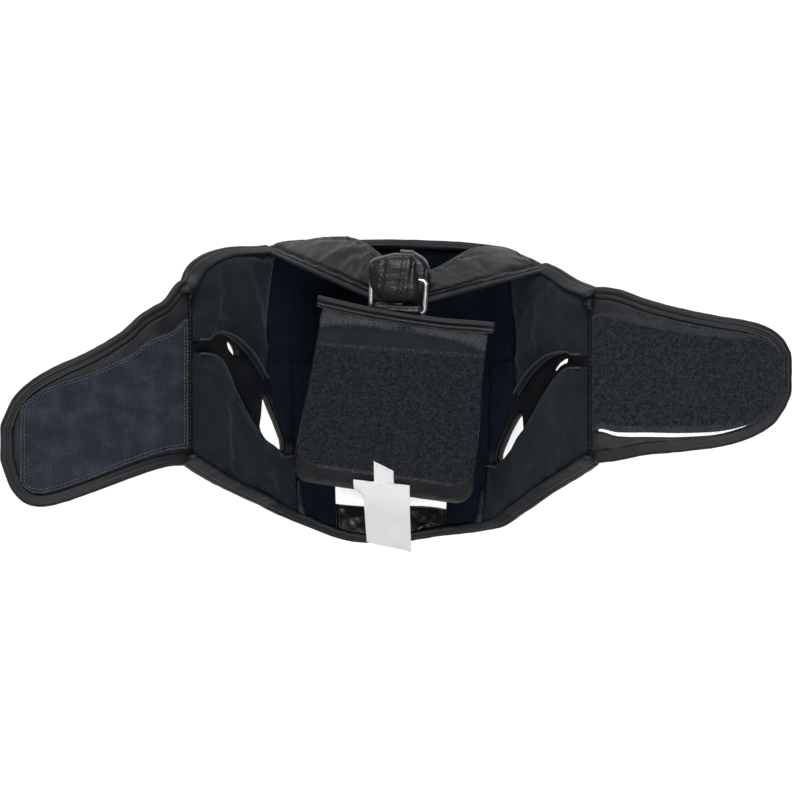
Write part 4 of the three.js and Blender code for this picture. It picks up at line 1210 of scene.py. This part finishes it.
def right_tape():
    def tufts(uv, x, y):
        rough = 0.55 * layered(uv, 3.2, 320, 3)
        return rough * np.clip(swell(x, 30) * swell(y, 20), 0, 1) + 0.3

    tape("right", LOOP, "loop_panel", 1.0, tufts)
    a, b, low, high = tape_edges("right")
    rng = np.random.default_rng(6)
    n = 9500
    u = side_u("right", rng.uniform(a + 0.5, b - 0.5, n))
    v = lerp(low(u), high(u), rng.uniform(0.0, 1.0, n))
    roots, outs = wall_run(u, v, -4.9, True)
    fibres("right_pile_fibres", roots, outs, rng, 1.7, 0.24, FIBRE, 0.9)
    n = 1700
    u = side_u("right", rng.uniform(a, b, n))
    selvedge("right_tape_upper_selvedge", high, 1.0, ROOT + 12, ROOT + 118)
    selvedge("right_tape_lower_selvedge", low, -1.0, ROOT + 3, ROOT + 112)
    for name, edge, way in (("upper", high, 1.0), ("lower", low, -1.0)):
        roots, outs = wall_run(u, edge(u) - way * rng.uniform(-0.3, 2.6, n), -4.2, True)
        fibres(
            f"right_pile_{name}_edge", roots, outs, rng, 1.7, 0.2, FRAY, 0.8,
            np.array([0, way, 0])
        )


def selvedge(name, edge, way, start_, end):
    """Smooth woven edge of the loop panel."""
    x, y = np.linspace(0, 1, 220)[:, None], np.linspace(0, 1, 9)[None, :]
    u = lerp(start_, end, x)
    v = edge(u) - way * lerp(4.6, 0.1, y)
    uv = np.stack(np.broadcast_arrays(u, v), -1)
    t = -WING_PANEL / 2 - GAP - 2.45 * (0.6 + 0.4 * swell(x, 12)) + 0.12 * layered(uv, 4, 330, 2) + 0 * v
    sides = np.concatenate(
        [place(u, v, t).reshape(-1, 3), place(u, v, 0 * t - WING_PANEL / 2 - 0.4).reshape(-1, 3)]
    )
    piece(name, sides, shell(*t.shape), SELVEDGE, twice(uv), [])


# Back flap, in a frame of its own: x across, y up to the crown, z out of the head
FLAP_FOOT, PATCH_FOOT, FLAP_CORNER = -151.0, -130.0, 18.0
FLAP = {"length": 145.0, "top": 130.0, "foot": 152.0}


def turn(axis, degrees):
    c, s = math.cos(math.radians(degrees)), math.sin(math.radians(degrees))
    if axis == "x":
        return np.array([[1, 0, 0], [0, c, -s], [0, s, c]])
    return np.array([[c, -s, 0], [s, c, 0], [0, 0, 1]])


FLAP_TURN = turn("z", -8) @ turn("x", 24)
FLAP_PLACE = np.array([11.5, 49.0, 141.0])
RING_PLACE = np.array([-8.0, 20.5, -1.6])
RING_TURN = turn("z", 5)


def on_flap(p):
    return np.asarray(p, float) @ FLAP_TURN.T + FLAP_PLACE


def on_ring(p):
    return on_flap(np.asarray(p, float) @ RING_TURN.T + RING_PLACE)


def flap_half(y):
    return lerp(FLAP["top"], FLAP["foot"], -y / FLAP["length"]) / 2


def flap_corner(y, foot, radius):
    near = np.clip((y - foot) / radius, 0, 1)
    return radius * (1 - np.sqrt(np.maximum(1 - (1 - near) ** 2, 0)))


def flap_form(top_y, foot, inset, z0, z1, edge, power=10):
    def form(x, y):
        h = lerp(foot, top_y, y)
        half = flap_half(h) - inset - flap_corner(h, foot, FLAP_CORNER)
        px = half * (2 * x - 1)
        rise = edge + (1 - edge) * swell(x, power) * swell(y, power)
        grid = np.broadcast_arrays(px, h, z0 + (z1 - z0) * rise)
        back = np.broadcast_arrays(px, h, z0)
        return on_flap(np.stack(grid, -1)), on_flap(np.stack(back, -1)), np.stack(grid[:2], -1)

    return form


def bar_sag(x):
    return -3.6 * np.clip(1 - (x / 68) ** 2, 0, 1) - 0.9 * x / 68


def patch_top(side_share):
    """Height of the loop patch's upper edge, which climbs to the right."""
    return -18.5 + 4.5 * side_share


def flap():
    size = (140, 145)
    form = flap_form(0, FLAP_FOOT, 0, 0, 8.9, 0.2, 14)
    soft(
        "back_flap_leather", form, size, LEATHER, "leather", ["back_flap"],
        cloth_relief(size, 400, 0.15, 0.08, 0.5), cap=0.35, grow=0.02, fill=0.4, step=1.9
    )
    n, m = 120, 84
    x, y = np.linspace(0, 1, n)[:, None], np.linspace(0, 1, m)[None, :]
    h = lerp(PATCH_FOOT, patch_top(2 * x - 1), y)
    half = flap_half(h) - 1.5 - flap_corner(h, PATCH_FOOT, FLAP_CORNER)
    px = half * (2 * x - 1)
    grid = np.broadcast_arrays(px, h)
    uv = np.stack(grid, -1)
    rise = swell(x, 40) * swell(y, 30)
    z = 9.35 + 2 * (0.3 + 0.7 * rise) + 0.55 * layered(uv, 3.2, 410, 3) * rise
    front = on_flap(np.stack([*grid, z], -1))
    back = on_flap(np.stack([*grid, 0 * z + 8.6], -1))
    piece("flap_loop_face", both(front, back), shell(n, m), LOOP,
          twice(uv), ["flap_loop_patch"])
    rng = np.random.default_rng(8)
    count = 10000
    across = rng.uniform(-1, 1, count)
    fy = lerp(PATCH_FOOT, patch_top(across), rng.uniform(0, 1, count))
    fx = across * (flap_half(fy) - 1.8 - flap_corner(fy, PATCH_FOOT, FLAP_CORNER))
    out = np.broadcast_to(FLAP_TURN[:, 2], (count, 3))
    fibres(
        "flap_pile_fibres", on_flap(np.stack([fx, fy, np.full(count, 11.2)], -1)), out, rng, 1.7, 0.24,
        FIBRE, 0.9
    )
    count = 1700
    for name, way in (("upper", 1.0), ("lower", -1.0)):
        across = rng.uniform(-1, 1, count)
        fy = (patch_top(across) if way > 0 else PATCH_FOOT) - way * rng.uniform(-0.4, 2.8, count)
        fx = across * (flap_half(fy) - 2 - (FLAP_CORNER if way < 0 else 0))
        roots = on_flap(np.stack([fx, fy, np.full(count, 10.6)], -1))
        fibres(
            f"flap_pile_{name}_edge", roots, out[:count], rng, 1.6, 0.2, FRAY, 0.8,
            way * FLAP_TURN[:, 1]
        )


def flap_head():
    """Smooth cloth, frayed webbing and the rolled bar along the flap's top edge."""
    n, m = 112, 26
    x, y = np.linspace(0, 1, n)[:, None], np.linspace(0, 1, m)[None, :]
    h = lerp(-30.5, 4.0, y) + 0 * x
    px = (flap_half(h) - 1.2) * (2 * x - 1)
    h = h + bar_sag(px) * y
    uv = np.stack([px, h], -1)
    z = 9.25 + 0.5 * swell(x, 30) + 0.25 * layered(uv, 24, 420, 2)
    front, back = on_flap(np.stack([px, h, z], -1)), on_flap(np.stack([px, h, 0 * z + 8.7], -1))
    piece("flap_header_cloth", both(front, back), shell(n, m), HEADER,
                  twice(uv))
    m = 12
    y = np.linspace(0, 1, m)[None, :]
    ragged = 1.6 * noise(np.stack([x[:, 0] * 130, 0 * x[:, 0]], -1), 9, 430)[:, None]
    h = lerp(3.0 + 0.6 * ragged - 11 * np.abs(2 * x - 1) ** 3, 6.0, y)
    px = (flap_half(h) - 1.0) * (2 * x - 1)
    h = h + bar_sag(px)
    uv = np.stack([px, h], -1)
    z = 10.4 + 0.5 * layered(uv, 6, 431, 3)
    front, back = on_flap(np.stack([px, h, z], -1)), on_flap(np.stack([px, h, 0 * z + 9.7], -1))
    piece("flap_webbing_strip", both(front, back), shell(n, m), WEBBING,
          twice(uv), ["flap_webbing"])
    rng = np.random.default_rng(9)
    count = 5500
    fx = 64 * np.sign(rng.uniform(-1, 1, count)) * rng.uniform(0, 1, count) ** 0.55
    ends = np.abs(fx) / 64
    fy = 3.0 + bar_sag(fx) + rng.uniform(-1.5, 2.5, count) - rng.uniform(0, 11, count) * ends**3
    out = np.broadcast_to(FLAP_TURN[:, 2], (count, 3))
    roots = on_flap(np.stack([fx, fy, np.full(count, 10.6)], -1))
    fibres("flap_webbing_fray", roots, out, rng, 2.2, 0.22, FRAY, 1.0, -FLAP_TURN[:, 1] * 0.8)
    # Rolled bar: two rolls with a stitched groove between them
    count = 170
    fx = np.linspace(-69, 69, count)
    circles = section([(2.7, 0.5, 2.3), (0.4, 0, 1.5), (-1.6, 0, 1.7), (-3.2, -0.1, 1.6)], 28)
    ends = np.minimum(np.arange(count), np.arange(count)[::-1]) / 1.5
    size = np.sqrt(np.clip(1 - (1 - np.clip(ends, 0, 1)) ** 2, 0.75, 1))
    wob = 0.35 * noise(np.stack([fx, 0 * fx], -1), 14, 440)
    yy = 8.8 + bar_sag(fx) + wob
    pts = np.stack(
        [
            np.repeat(fx[:, None], 28, 1), yy[:, None] + circles[None, :, 0] * size[:, None],
            6.6 + 0.3 * noise(
                np.stack([fx, 0 * fx + 9], -1), 20, 441
            )[:, None] + circles[None, :, 1] * size[:, None]
        ],
        -1
    )
    piece(
        "flap_top_roll", on_flap(pts), tube(count, 28), PIPING,
        np.stack([pts[..., 0], pts[..., 1]], -1), ["flap_top_bar"]
    )
    groove = on_flap(np.stack([fx, yy - 1.0, 0 * fx + 8.2], -1))
    edge = on_flap(np.stack([fx, yy - 3.4, 0 * fx + 8.1], -1))
    face = np.broadcast_to(FLAP_TURN[:, 2], (count, 3))
    stitches("flap_bar_stitches", [(groove, face), (edge, face)], 3.0, 2.1, 0.3, FRAY)


def label():
    n, m = 40, 72
    neck, length = 15.0, 86.0
    down = np.concatenate([np.linspace(0, neck, 14), np.linspace(neck + 0.02, length, 58)])
    fall = np.radians(17 * smoothstep(down, 22, 48))
    step = np.diff(down, prepend=0)
    along, drop = np.cumsum(step * np.cos(fall)), np.cumsum(step * np.sin(fall))
    x = np.linspace(0, 1, n)[:, None]
    left, right = np.where(down <= neck, -8.0, -25.0), np.where(down <= neck, 8.0, 21.0)
    px = lerp(left, right, x)
    slant = lerp(0.55, 0.1, smoothstep(down, 0, 0.8 * neck)) + 0.12 * smoothstep(down, 60, length)
    py = -(along + slant * px)
    uv = np.stack(np.broadcast_arrays(px, -down[None, :] + 0 * px), -1)
    spare = np.maximum(-17.0 - px, 0)
    tuck = np.radians(100 * smoothstep(down, 20, 38))
    px = px + spare * (1 - np.cos(tuck))
    curl = 0.9 * np.sin(down / 30) + 0.9 * (px / 23) ** 2 * smoothstep(down, 30, length)
    z = 11.9 - drop - spare * np.sin(tuck) + np.maximum(curl + 0.6 * layered(uv, 26, 450, 2), 0)
    c, s = math.cos(math.radians(8)), math.sin(math.radians(8))
    flat = lambda zz: on_flap(
        np.stack(np.broadcast_arrays(c * px - s * py - 1, s * px + c * py - 121, zz), -1)
    )
    front, back = flat(z + 0.15), flat(z - 0.15)
    points = both(front, back)
    uvs = twice(uv)
    return piece("care_label_satin", points, shell(n, m), LABEL, uvs, ["care_label"])


# Crown bands, keeper, ring and strap
def band_surface(side):
    lower, upper = BAND_BASE[side]
    sign = SIGN[side]

    def surface(s, w):
        u = sign * lerp(lower, upper, w)
        a = place(u, top(u) + 3.5 + 2 * GAP, 0 * u)
        spread, share, arch, wave = (24, 0.24, 19, 0) if side == "left" else (22, 0.45, 0, 4)
        y = -7.9 + spread * w
        c = on_ring(np.stack(np.broadcast_arrays(sign * 3.5, y, -7.75), -1))
        rise = np.stack(np.broadcast_arrays(0 * w, arch * w, 0 * w), -1)
        middle = lerp(a, c, share) + rise
        swing = np.stack(np.broadcast_arrays(0 * w * s, wave * w * np.sin(2 * np.pi * s), 0 * w * s), -1)
        s = np.asarray(s)[..., None]
        return a * (1 - s) ** 2 + 2 * middle * s * (1 - s) + c * s * s + swing

    return surface


def bands(side):
    surface = band_surface(side)
    sign = SIGN[side]
    seed = 500 if side == "left" else 530

    def normal(s, w):
        along = surface(np.minimum(s + 0.02, 1), w) - surface(np.maximum(s - 0.02, 0), w)
        across = surface(s, w + 0.03) - surface(s, w - 0.03)
        return unit(np.cross(across, along)) * sign

    def form(x, y):
        s, w = np.broadcast_arrays(x, y)
        mid, out = surface(s, w), normal(s, w)
        up = np.sign(out[..., 2].mean()) or 1.0
        rise = (0.3 + 0.7 * swell(y, 4)) * (0.75 + 0.25 * swell(x, 4))
        uv = np.stack([s * 110, w * 60], -1)
        return mid + out * up * (3.9 * rise)[..., None], mid - out * up * (3.2 * rise)[..., None], uv

    def wrinkles(x, y, uv):
        cross = uv @ np.array([[1.0, 0.25], [0.35, 0.22]])
        fold = layered(cross, 6.5, seed, 2)
        tight = smoothstep(x, 0.25, 1.0)
        stitched = 0
        if side == "right":
            stitched = 0.5 * np.exp(-(((uv[..., 0] - 62 - 0.12 * uv[..., 1]) / 0.9) ** 2))
        piped = 0.9 * np.exp(-(((y - 0.9) * 60 / 1.1) ** 2)) + 2.8 * np.exp(-(((y - 0.10) * 60 / 1.7) ** 2))
        return (0.25 + 0.45 * tight) * fold + 0.35 * layered(uv, 22, seed + 5, 2) - piped - stitched

    soft(
        f"{side}_band_leather", form, (110, 62), PAINTED_LIGHT_LEATHER, "leather", [f"{side}_crown_band"], wrinkles, cap=1.3,
        grow=0.05, step=1.05, fill=0.5
    )

    def edge_roll(name, w0, radius, far, cad, seed_):
        s = np.linspace(0.0, 1, 120)
        w = np.full(s.shape, w0)
        edge, out = surface(s, w), normal(s, w)
        away = unit(edge - surface(s, w + (0.1 if w0 < 0.5 else -0.1)))
        centre = edge + away * far
        shape = section(
            [(0.9 * radius / 2.5, 0.0, radius * 0.72), (-0.9 * radius / 2.5, 0.0, radius * 0.66)], 20
        )
        ends = np.minimum(np.arange(120), np.arange(120)[::-1]) / 3.0
        size = np.sqrt(np.clip(1 - (1 - np.clip(ends, 0, 1)) ** 2, 0.15, 1))
        lump = 1 + 0.06 * noise(np.stack([s * 110, 0 * s], -1), 6, seed_)
        size = size * lump
        pts = centre[:, None] + away[:, None] * (
            shape[None, :, 0] * size[:, None]
        )[..., None] + out[:, None] * (shape[None, :, 1] * size[:, None])[..., None]
        uv = np.stack(np.broadcast_arrays((s * 110)[:, None], np.arange(20)[None] * 0.8), -1)
        piece(name, pts, tube(120, 20), PIPING, uv, cad)

    edge_roll(f"{side}_band_lower_roll", 0.0, 2.5, 2.5 + GAP, [f"{side}_band_cord"], seed + 8)
    edge_roll(f"{side}_band_upper_roll", 1.0, 1.5, 0.6, [], seed + 9)


WIRE_RADIUS = 2.05


def ring():
    x, y, r, sides = 21.0, 14.0, 4.5, 18
    corner = lambda cx, cy, a: [
        (cx + r * math.cos(a + k * math.pi / 16), cy + r * math.sin(a + k * math.pi / 16)) for k in range(9)
    ]
    path = np.array(
        corner(x - r, y - r, 0) + corner(r - x, y - r, math.pi / 2) + corner(r - x, r - y, math.pi)
        + corner(x - r, r - y, 1.5 * math.pi)
    )
    path = even(path, 120, True)
    out = sideways(path, True)
    angle = np.linspace(0, 2 * np.pi, sides, endpoint=False)
    pts = np.stack([
        path[:, 0, None] + out[:, 0, None] * WIRE_RADIUS * np.cos(angle)[None],
        path[:, 1, None] + out[:, 1, None] * WIRE_RADIUS * np.cos(angle)[None],
        np.broadcast_to(WIRE_RADIUS * np.sin(angle)[None], (len(path), sides)),
    ], -1)
    uv = np.stack(np.broadcast_arrays(np.arange(len(path))[:, None] * 1.0, angle[None]), -1)
    piece("crown_ring_wire", on_ring(pts), tube(len(path), sides, True), STEEL, uv, ["crown_ring"])


def ply(name, rows, z0, z1, grooves, seed, nodes, lean_=0.0):
    """One ply of the folded keeper. rows gives height, left edge and right edge in the ring's frame."""
    n, m = 46, 50
    rows = np.array(rows, float)
    x, y = eased(n, 0.7)[:, None], eased(m, 0.5)[None, :]
    h = lerp(rows[0, 0], rows[-1, 0], y)
    left, right = (column(rows[:, 0], rows[:, k], h) for k in (1, 2))
    px = lerp(left, right, x)
    py = h + lean_ * x * y
    rise = (0.25 + 0.75 * swell(x, 4)) * (0.4 + 0.6 * swell(y, 6))
    spots = np.stack(np.broadcast_arrays(px, py), -1)
    relief = 0.20 * layered(spots * [0.5, 0.6], 8, seed, 2)
    for middle, width, depth in grooves:
        relief = relief - depth * np.exp(-(((px - middle - 0.1 * (py - 12)) / width) ** 2))
    front = np.stack(np.broadcast_arrays(px, py, z0 + (z1 - z0) * rise + relief * rise), -1)
    back = np.stack(np.broadcast_arrays(px, py, z0), -1)
    points = both(on_ring(front), on_ring(back))
    uv = twice(spots)
    piece(name, points, shell(n, m), GLOSSY, uv, nodes)


def keeper():
    front = [
        (-3.5, -14, 15.5), (0, -17, 16.5), (6, -21, 17), (14, -22.5, 15.5), (24, -23, 13), (29, -19, 13),
        (34, -4, 10)
    ]
    lines = [(-13.5, 0.5, 1.0), (-11.8, 0.5, 0.8), (1.5, 0.6, 1.3), (3.4, 0.5, 0.9), (8.5, 0.7, 0.9)]
    ply("keeper_front_leather", front, 0.5, 7.4, lines, 560, ["crown_keeper"])
    rear = [(-1, 2, 19), (5, 2, 24.5), (15, 2, 24.5), (24, 1, 22.5), (30, 0, 18), (35, 0, 9)]
    ply("keeper_rear_leather", rear, -5.5, 2.0, [(19.5, 0.6, 0.8)], 570, [])


def strap():
    eye, outer, half = 2.15, 4.65, 1.25
    lift = math.asin(half / outer)
    a = np.linspace(lift, 2 * math.pi - lift, 60)
    outline = [(outer * math.cos(t), outer * math.sin(t)) for t in a]
    tail = np.linspace(outer * math.cos(lift) + 0.8, 46, 36)
    outline += [(p, -half) for p in tail] + [(46.6, -0.6), (46.6, 0.6)] + [(p, half) for p in tail[::-1]]
    outline = np.array(outline)
    # outline x runs down the strap, y is its depth
    n = 46
    across = np.linspace(-16, 16, n)
    ends = np.minimum(np.arange(n), np.arange(n)[::-1]) / 2.0
    round_ = np.sqrt(np.clip(1 - (1 - np.clip(ends, 0, 1)) ** 2, 0.3, 1))
    body = np.where(outline[:, 0] < 5, 1.0, 0.0)
    pts = []
    for k, x in enumerate(across):
        radius = np.where(body > 0, 1 - (1 - round_[k]) * 0.25, 1.0)
        down = outline[:, 0] * radius
        depth = outline[:, 1] * np.where(body > 0, radius, round_[k])
        crease = 0.22 * noise(np.stack([np.full(len(down), x), down, depth], -1), 5, 580)
        pts.append(np.stack([np.full(len(down), x), -14 - down, -(depth + crease * np.sign(depth))], -1))
    pts = np.array(pts)
    uv = np.stack(np.broadcast_arrays(across[:, None], np.arange(len(outline))[None] * 0.7), -1)
    piece(
        "adjusting_strap_leather", on_ring(pts), tube(n, len(outline)), GLOSSY, uv,
        ["adjusting_strap"]
    )
    # the turn of the strap over the ring's lower bar
    x = np.linspace(-18.6, 18.2, 70)[:, None]
    around = np.linspace(0, 2 * np.pi, 28, endpoint=False)[None]
    size = np.sqrt(np.clip(1 - (np.abs(x / 18.8)) ** 14, 0.3, 1)) * (1 - 0.10 * np.exp(-((x / 7) ** 2)))
    grid = np.broadcast_arrays(x, np.cos(around), np.sin(around))
    crease = 1 + 0.05 * noise(np.stack([grid[0] * 0.5, 4 * grid[1], 4 * grid[2]], -1), 4, 585)
    turned = np.stack(
        [grid[0], -10.8 + 4.7 * grid[1] * size * crease, 0.8 + 4.6 * grid[2] * size * crease], -1
    )
    uv = np.stack([grid[0], np.broadcast_to(4 * around, grid[0].shape)], -1)
    piece("adjusting_strap_turn", on_ring(turned), tube(70, 28), GLOSSY, uv, [])


def tabs(side):
    foot = lambda u: bottom(u) + GAP
    n, m = 24, 50
    x, y = eased(n, 0.7)[:, None], eased(m, 0.5)[None, :]
    length = 28 * (0.3 + 0.7 * np.sqrt(np.maximum(1 - np.abs(2 * x - 1) ** 3, 0)))
    wide = 4.5 * (0.62 + 0.38 * np.cos(np.pi * (y - 0.2)) ** 2)
    u = side_u(side, JAW_START + wide * (2 * x - 1))
    v = foot(u) + length * y
    rise = 0.35 + 0.65 * swell(x, 4) * swell(y, 6)
    uv = np.stack(np.broadcast_arrays(u, v), -1)
    knob = 0.9 * np.exp(-((x - 0.5) ** 2) / 0.05 - ((y - 0.22) ** 2) / 0.01)
    front = place(u, v, -12 * 0.78 - 2.5 * rise - knob - 0.3 * layered(uv, 5, 590, 2) * rise)
    back = place(u, v, -12 * 0.78)
    piece(f"{side}_chin_tab_leather", both(front, back), shell(n, m), PIPING,
          twice(uv), [f"{side}_chin_tab"])
    u = side_u(side, lerp(LINING_END + GAP, ROOT - SEAM, x))
    high = top(u) - GAP
    v = lerp(high - 10, high, y)
    uv = np.stack(np.broadcast_arrays(u, v), -1)
    rise = 0.3 + 0.7 * swell(x, 4) * swell(y, 4)
    bars = 0.45 * np.cos(2 * np.pi * (v - high) / 3.3) * swell(x, 4)
    front, back = place(u, v, -LAYER - 5 * rise - bars * 0.8), place(u, v, 0 * v - LAYER)
    piece(f"{side}_seam_tab_leather", both(front, back), shell(n, m), PIPING,
          twice(uv), [f"{side}_seam_tab"])


def sewing():
    """Seams of the leather: along the rims inside and out, round the ears and beside the wings' edges."""
    for side in SIGN:
        sign = SIGN[side]
        runs = []
        us = np.linspace(FRONT_PAD_END + 6, ROOT - 6, 180)
        u = sign * us
        runs.append(wall_run(u, top(u) - 7.5, 8.2, False))
        runs.append(wall_run(u, bottom(u) + 7.5, 8.2, False))
        ear = hole_outline(side, EAR_HOLE[side], 200)
        grown = ear.copy()
        grown[:, 0] *= sign
        clockwise = runs_clockwise(grown)
        grown = grown + sideways(grown, True) * (8.5 if clockwise else -8.5)
        runs.append(wall_run(grown[:, 0], grown[:, 1], 8.1, False))
        v = np.linspace(
            float(bottom(np.array(sign * (ROOT - 4)))) + 6, float(top(np.array(sign * (ROOT - 4)))) - 14, 90
        )
        runs.append(wall_run(np.full(90, sign * (ROOT - 4.2)), v, 0.1, True))
        stitches(f"{side}_side_stitches", runs)
        end = ROOT + WING_LENGTH[side]
        us = np.linspace(ROOT + 5, end - 6, 170)
        u = sign * us
        outer = [
            wall_run(u, wing_edge(side, WING_UPPER, u) - 3.5, 2.3, False),
            wall_run(u, wing_low(side, u) + 3.5, 2.3, False)
        ]
        inner = [wall_run(u, wing_edge(side, WING_UPPER, u) - 2.2, -1.9, True)]
        stitches(f"{side}_wing_stitches", outer + inner)
    us = np.linspace(-86, 86, 160)
    stitches("front_stitches", [wall_run(us, top(us) + 0.6, 5.2, False)], 3.4)


front_pads()
for which in ("left", "right"):
    cheeks(which)
    side_linings(which)
    side_panel(which)
    ear_rims(which)
    lining_edges(which)
    wing(which)
    bands(which)
    tabs(which)
rims()
wing_hem()
left_tape()
right_tape()
flap()
flap_head()
care = label()
ring()
keeper()
strap()
sewing()
finish_soft()

# Floor, light and camera
floor_mesh = bpy.data.meshes.new("floor")
floor_mesh.from_pydata([(-30, -30, 0), (30, -30, 0), (30, 30, 0), (-30, 30, 0)], [], [(0, 1, 2, 3)])
floor = bpy.data.objects.new("floor", floor_mesh)
bpy.context.scene.collection.objects.link(floor)
floor.location.z = -0.0003
paper, paper_tree, paper_bsdf = start("floor_paper_painted_shadow", Roughness=0.9, Specular_IOR_Level=0.1)
paper_bsdf.inputs["Base Color"].default_value = (0.25, 0.25, 0.25, 1)
paper_bsdf.inputs["Emission Color"].default_value = (1, 1, 1, 1)
# The floor glows white, but its glow falls from 0.95 to 0.03 inside an oval 100 by 85 mm round the middle: a
# painted shadow under the headgear, which keeps the glow from lighting its inside.
reach = paper_tree.nodes.new("ShaderNodeVectorMath")
reach.operation = "MULTIPLY"
reach.inputs[1].default_value = (1 / 0.100, 1 / 0.085, 0)
paper_tree.links.new(place_of(paper_tree), reach.inputs[0])
shade = paper_tree.nodes.new("ShaderNodeVectorMath")
shade.operation = "LENGTH"
paper_tree.links.new(reach.outputs[0], shade.inputs[0])
paper_tree.links.new(
    between(paper_tree, shade.outputs["Value"], 0.8, 1.15, 0.03, 0.95),
    paper_bsdf.inputs["Emission Strength"]
)
floor_mesh.materials.append(paper)

world = bpy.data.worlds.new("studio")
world.use_nodes = True
world.node_tree.nodes["Background"].inputs["Color"].default_value = (0.95, 0.97, 1.0, 1)
world.node_tree.nodes["Background"].inputs["Strength"].default_value = 0.12
bpy.context.scene.world = world
bpy.context.scene.view_settings.view_transform = "Standard"


def softbox(name, where, aim, size, power):
    data = bpy.data.lights.new(name, "AREA")
    data.shape = "RECTANGLE"
    data.size, data.size_y = size
    data.energy = power
    lamp = bpy.data.objects.new(name, data)
    lamp.location = where
    lamp.rotation_euler = (Vector(aim) - Vector(where)).to_track_quat("-Z", "Y").to_euler()
    bpy.context.scene.collection.objects.link(lamp)


softbox("key", (-0.15, 1.3, 1.3), (0, 0, 0.1), (1.6, 0.7), 20)
softbox("top", (0.15, -0.55, 1.8), (0, 0, 0.1), (0.9, 0.6), 18)
softbox("side", (-1.6, -0.2, 0.9), (-0.1, 0, 0.1), (0.5, 1.0), 4)

camera = bpy.data.objects.new("camera", bpy.data.cameras.new("camera"))
camera.data.lens = 54
camera.data.sensor_width = 36
camera.data.clip_start = 0.05
camera.location = (0.00103, -0.00294, 1.0758)
camera.rotation_euler = (0, 0, 0)
bpy.context.scene.collection.objects.link(camera)
bpy.context.scene.camera = camera
